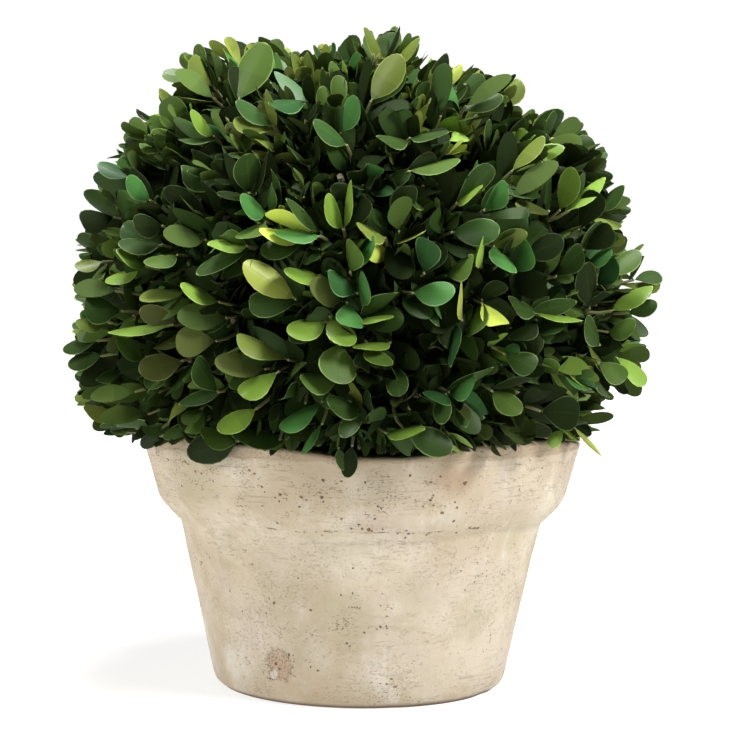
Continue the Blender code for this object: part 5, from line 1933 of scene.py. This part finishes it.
    def _leaf_tint(self, tint: Tint, node: int) -> Tint:
        """A leaf's tint: its spray's, but lighter for some of the youngest and darker for the oldest, deeper
        in the ball, partly for their age and partly as painted shade.
        """
        lot = self.draw.random()
        if node <= 1 and lot < self.young_share:
            return {NIGHT: DEEP, DEEP: FOREST, SPRUCE: EMERALD, FOREST: MEADOW}.get(tint, tint)
        if lot > self.node_age_and_shade[node]:
            return self.draw.choice((DEEP, NIGHT, NIGHT))
        return tint

    # Pieces

    def build(self, bark: BarkFinish, effects: Effects) -> list[bpy.types.Object]:
        """Grows everything and joins it into pieces.

        Args:
            bark: the finish of boughs and twigs.
            effects: the shared node groups.

        Returns:
            The ball's pieces.
        """
        self.grow_limbs()
        self.grow_named_leaves()
        self.grow_sprays()
        pieces = [self._shade_heart_piece(effects)]
        pieces.append(self._linked("boughs", self.wood.mesh("boughs"), [bark.material(effects)]))
        pieces += [self._shoot_piece(), self._bud_piece(), *self._leaf_pieces()]
        for piece in pieces:
            stand_for(piece, "foliage_ball")
        LOG.info("%d twigs, %d shoots, %d leaves", len(self.twigs), len(self.shoots.tubes), len(self.leaves))
        return pieces

    def _linked(
        self, name: str, mesh: bpy.types.Mesh, materials: Iterable[bpy.types.Material]
    ) -> bpy.types.Object:
        """A new object with this mesh and these materials, smooth but for sharp edges."""
        piece = bpy.data.objects.new(name, mesh)
        bpy.context.scene.collection.objects.link(piece)
        return dress(piece, self.sharp_from, materials)

    def _shoot_piece(self) -> bpy.types.Object:
        """The leafy shoots: brown where they are old, green where they are young."""
        old = PlainFinish("shoot_brown", (0.155, 0.110, 0.062), 0.75)
        young = PlainFinish("shoot_green", (0.190, 0.200, 0.070), 0.60)
        return self._linked("shoots", self.shoots.mesh("shoots"), [old.material(), young.material()])

    def _bud_piece(self) -> bpy.types.Object:
        """The pale buds at the shoots' tips, copied from one."""
        settings = {"segments": 6, "ring_count": 4, "radius": 0.5, "location": ORIGIN}
        bud = new_primitive("bud", bpy.ops.mesh.primitive_uv_sphere_add, **settings)
        with editing():
            bpy.ops.transform.resize(value=(0.45, 0.45, 1.0))
        with editing(lambda place: place.z > 0.2):
            bpy.ops.transform.resize(value=(0.5, 0.5, 1.0), center_override=ORIGIN)
        copy = LeafCopy.read(bud)
        bpy.data.objects.remove(bud, do_unlink=True)
        places = []
        for tip, heading, size in self.buds:
            turned = np.array(heading.to_track_quat("Z", "Y").to_matrix())
            places.append(copy.points * 0.0034 * size @ turned.T + np.array(tip + 0.0008 * heading))
        mesh = joined_copies("buds", [(copy, np.array(places))])
        return self._linked("buds", mesh, [PlainFinish("bud_scale", (0.330, 0.350, 0.130), 0.55).material()])

    def _leaf_pieces(self) -> list[bpy.types.Object]:
        """One piece for each tint, or more where a tint has too many faces for one."""
        kinds = [(form, inner) for inner in (False, True) for form in LeafForm]
        copies = {(form, inner): LeafPattern(form.value, inner).model() for form, inner in kinds}
        pieces = []
        for tint in Tint:
            parts: list[list[Leaf]] = [[]]
            room = MOST_TRIANGLES
            for leaf in (leaf for leaf in self.leaves if leaf.tint is tint):
                cost = copies[leaf.form, leaf.inner].triangles
                if cost > room:
                    parts.append([])
                    room = MOST_TRIANGLES
                room -= cost
                parts[-1].append(leaf)
            for number, part in enumerate(parts, start=1):
                name = f"leaves_{tint.value.name}" + (f"_{number}" if len(parts) > 1 else "")
                batches = []
                for kind in product(LeafForm, (False, True)):
                    chosen = [leaf for leaf in part if (leaf.form, leaf.inner) == kind]
                    if chosen:
                        batches.append((copies[kind], copied_points(copies[kind], chosen)))
                if batches:
                    pieces.append(self._linked(name, joined_copies(name, batches), tint.value.materials()))
        return pieces


# --- The studio ---------------------------------------------------------------------------------------


@dataclass(frozen=True)
class Softbox:
    """One area light."""

    name: str
    place: tuple[float, float, float]
    aim: tuple[float, float, float]
    width: float
    height: float
    watts: float
    colour: Colour = WHITE


@dataclass
class Studio:
    """A plain white table in soft light, and the camera."""

    eye: tuple[float, float, float] = EYE
    pitch_down: float = 3.356
    roll: float = 0.727
    focal_pixels: float = 2218.0
    floor_size: float = 9.0
    floor_tone: Colour = (0.300, 0.292, 0.280)
    floor_glow: float = 0.77
    floor_bounce: float = 0.85
    front_glow: float = 0.015
    back_glow: float = 0.22
    softboxes: tuple[Softbox, ...] = (
        Softbox("right_box", (0.95, -0.70, 0.95), (0.0, 0.0, 0.17), 0.4, 0.4, 20.0, (1.0, 0.985, 0.97)),
        Softbox("left_box", (-1.10, -0.60, 0.75), (0.0, 0.0, 0.17), 0.5, 0.5, 9.5, (1.0, 0.97, 0.93)),
        Softbox("top_box", (-0.05, -0.10, 1.25), (0.0, 0.0, 0.22), 0.4, 0.35, 20.0),
    )

    def lay_floor(self) -> bpy.types.Object:
        """Lays the pale floor that the pot stands on."""
        floor = new_primitive("floor", bpy.ops.mesh.primitive_plane_add, size=self.floor_size)
        material, shader = new_material("pale_floor")
        place = object_place(shader)
        darker = tuple(0.985 * value for value in self.floor_tone)
        seen = place.node("ShaderNodeLightPath", {}, "Is Camera Ray")
        # The floor glows, as painted light: less near the pot, where its shadow still shows, and fully white
        # farther out.
        glow = place.vector("LENGTH", output="Value").ramp(0.34, 0.80, self.floor_glow, 1.04)
        # Painted light: the glow rises to the right of the pot, lifting the shadow that falls there.
        glow = glow + place.parts()[0].ramp(0.0, 0.08, 0.0, 0.20)
        feeds = {
            "Base Color": place.noise(3.0, 2.0).mix(darker, self.floor_tone),
            "Roughness": 0.85,
            "Specular IOR Level": 0.1,
            "Emission Color": WHITE,
            # Seen by the camera it glows by the ramps above; to everything else it glows evenly, as bounce
            # light.
            "Emission Strength": seen.ramp(0.0, 1.0, self.floor_bounce, glow),
        }
        feed(shader, feeds)
        floor.data.materials.append(material)
        return floor

    def light(self) -> None:
        """Hangs the softboxes and whitens the surroundings."""
        for box in self.softboxes:
            data = bpy.data.lights.new(box.name, "AREA")
            data.shape = "RECTANGLE"
            data.size, data.size_y = box.width, box.height
            data.energy = box.watts
            data.color = box.colour
            lamp = bpy.data.objects.new(box.name, data)
            bpy.context.scene.collection.objects.link(lamp)
            lamp.location = box.place
            aim = Vector(box.aim) - Vector(box.place)
            lamp.rotation_euler = aim.to_track_quat("-Z", "Y").to_euler()
        world = bpy.data.worlds.new("studio")
        bpy.context.scene.world = world
        world.use_nodes = True
        seen = Value(world.node_tree.nodes.new("ShaderNodeLightPath").outputs["Is Camera Ray"])
        back = seen.node("ShaderNodeTexCoord", {}, "Generated").parts()[1]
        glow = back.ramp(-0.8, 0.5, self.front_glow, self.back_glow)
        strength = seen.ramp(0.0, 1.0, glow, 1.05)
        feed(world.node_tree.nodes["Background"], {"Color": WHITE, "Strength": strength})

    def place_camera(self) -> bpy.types.Object:
        """Stands the camera in front of the plant, a little above its middle.

        Returns:
            The camera.
        """
        data = bpy.data.cameras.new("camera")
        data.sensor_width = 36.0
        data.lens = self.focal_pixels / PIXELS * data.sensor_width
        data.clip_start = 0.05
        camera = bpy.data.objects.new("camera", data)
        bpy.context.scene.collection.objects.link(camera)
        tilt = Matrix.Rotation(math.radians(90.0 - self.pitch_down), 4, "X")
        roll = Matrix.Rotation(math.radians(self.roll), 4, "Z")
        camera.matrix_world = Matrix.Translation(self.eye) @ tilt @ roll
        bpy.context.scene.camera = camera
        return camera

    def set_up(self) -> None:
        """Sets the floor, the lights, the camera and the picture's plain rendering of tones."""
        self.lay_floor()
        self.light()
        self.place_camera()
        bpy.context.scene.view_settings.view_transform = "Standard"
        bpy.context.scene.view_settings.look = "None"


def main() -> None:
    """Builds the studio, the pot and the plant in order."""
    logging.basicConfig(level=logging.INFO, format="%(name)s: %(message)s", stream=sys.stdout)
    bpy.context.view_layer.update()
    select_only()
    effects = Effects()
    Studio().set_up()
    pot = Pot()
    pot.build(ClayFinish(), effects)
    PottingEarth().build(pot, EARTH, effects)
    bark = BarkFinish()
    Stem().build(bark, effects)
    Foliage().build(bark, effects)
    select_only()


if __name__ == "__main__":
    main()
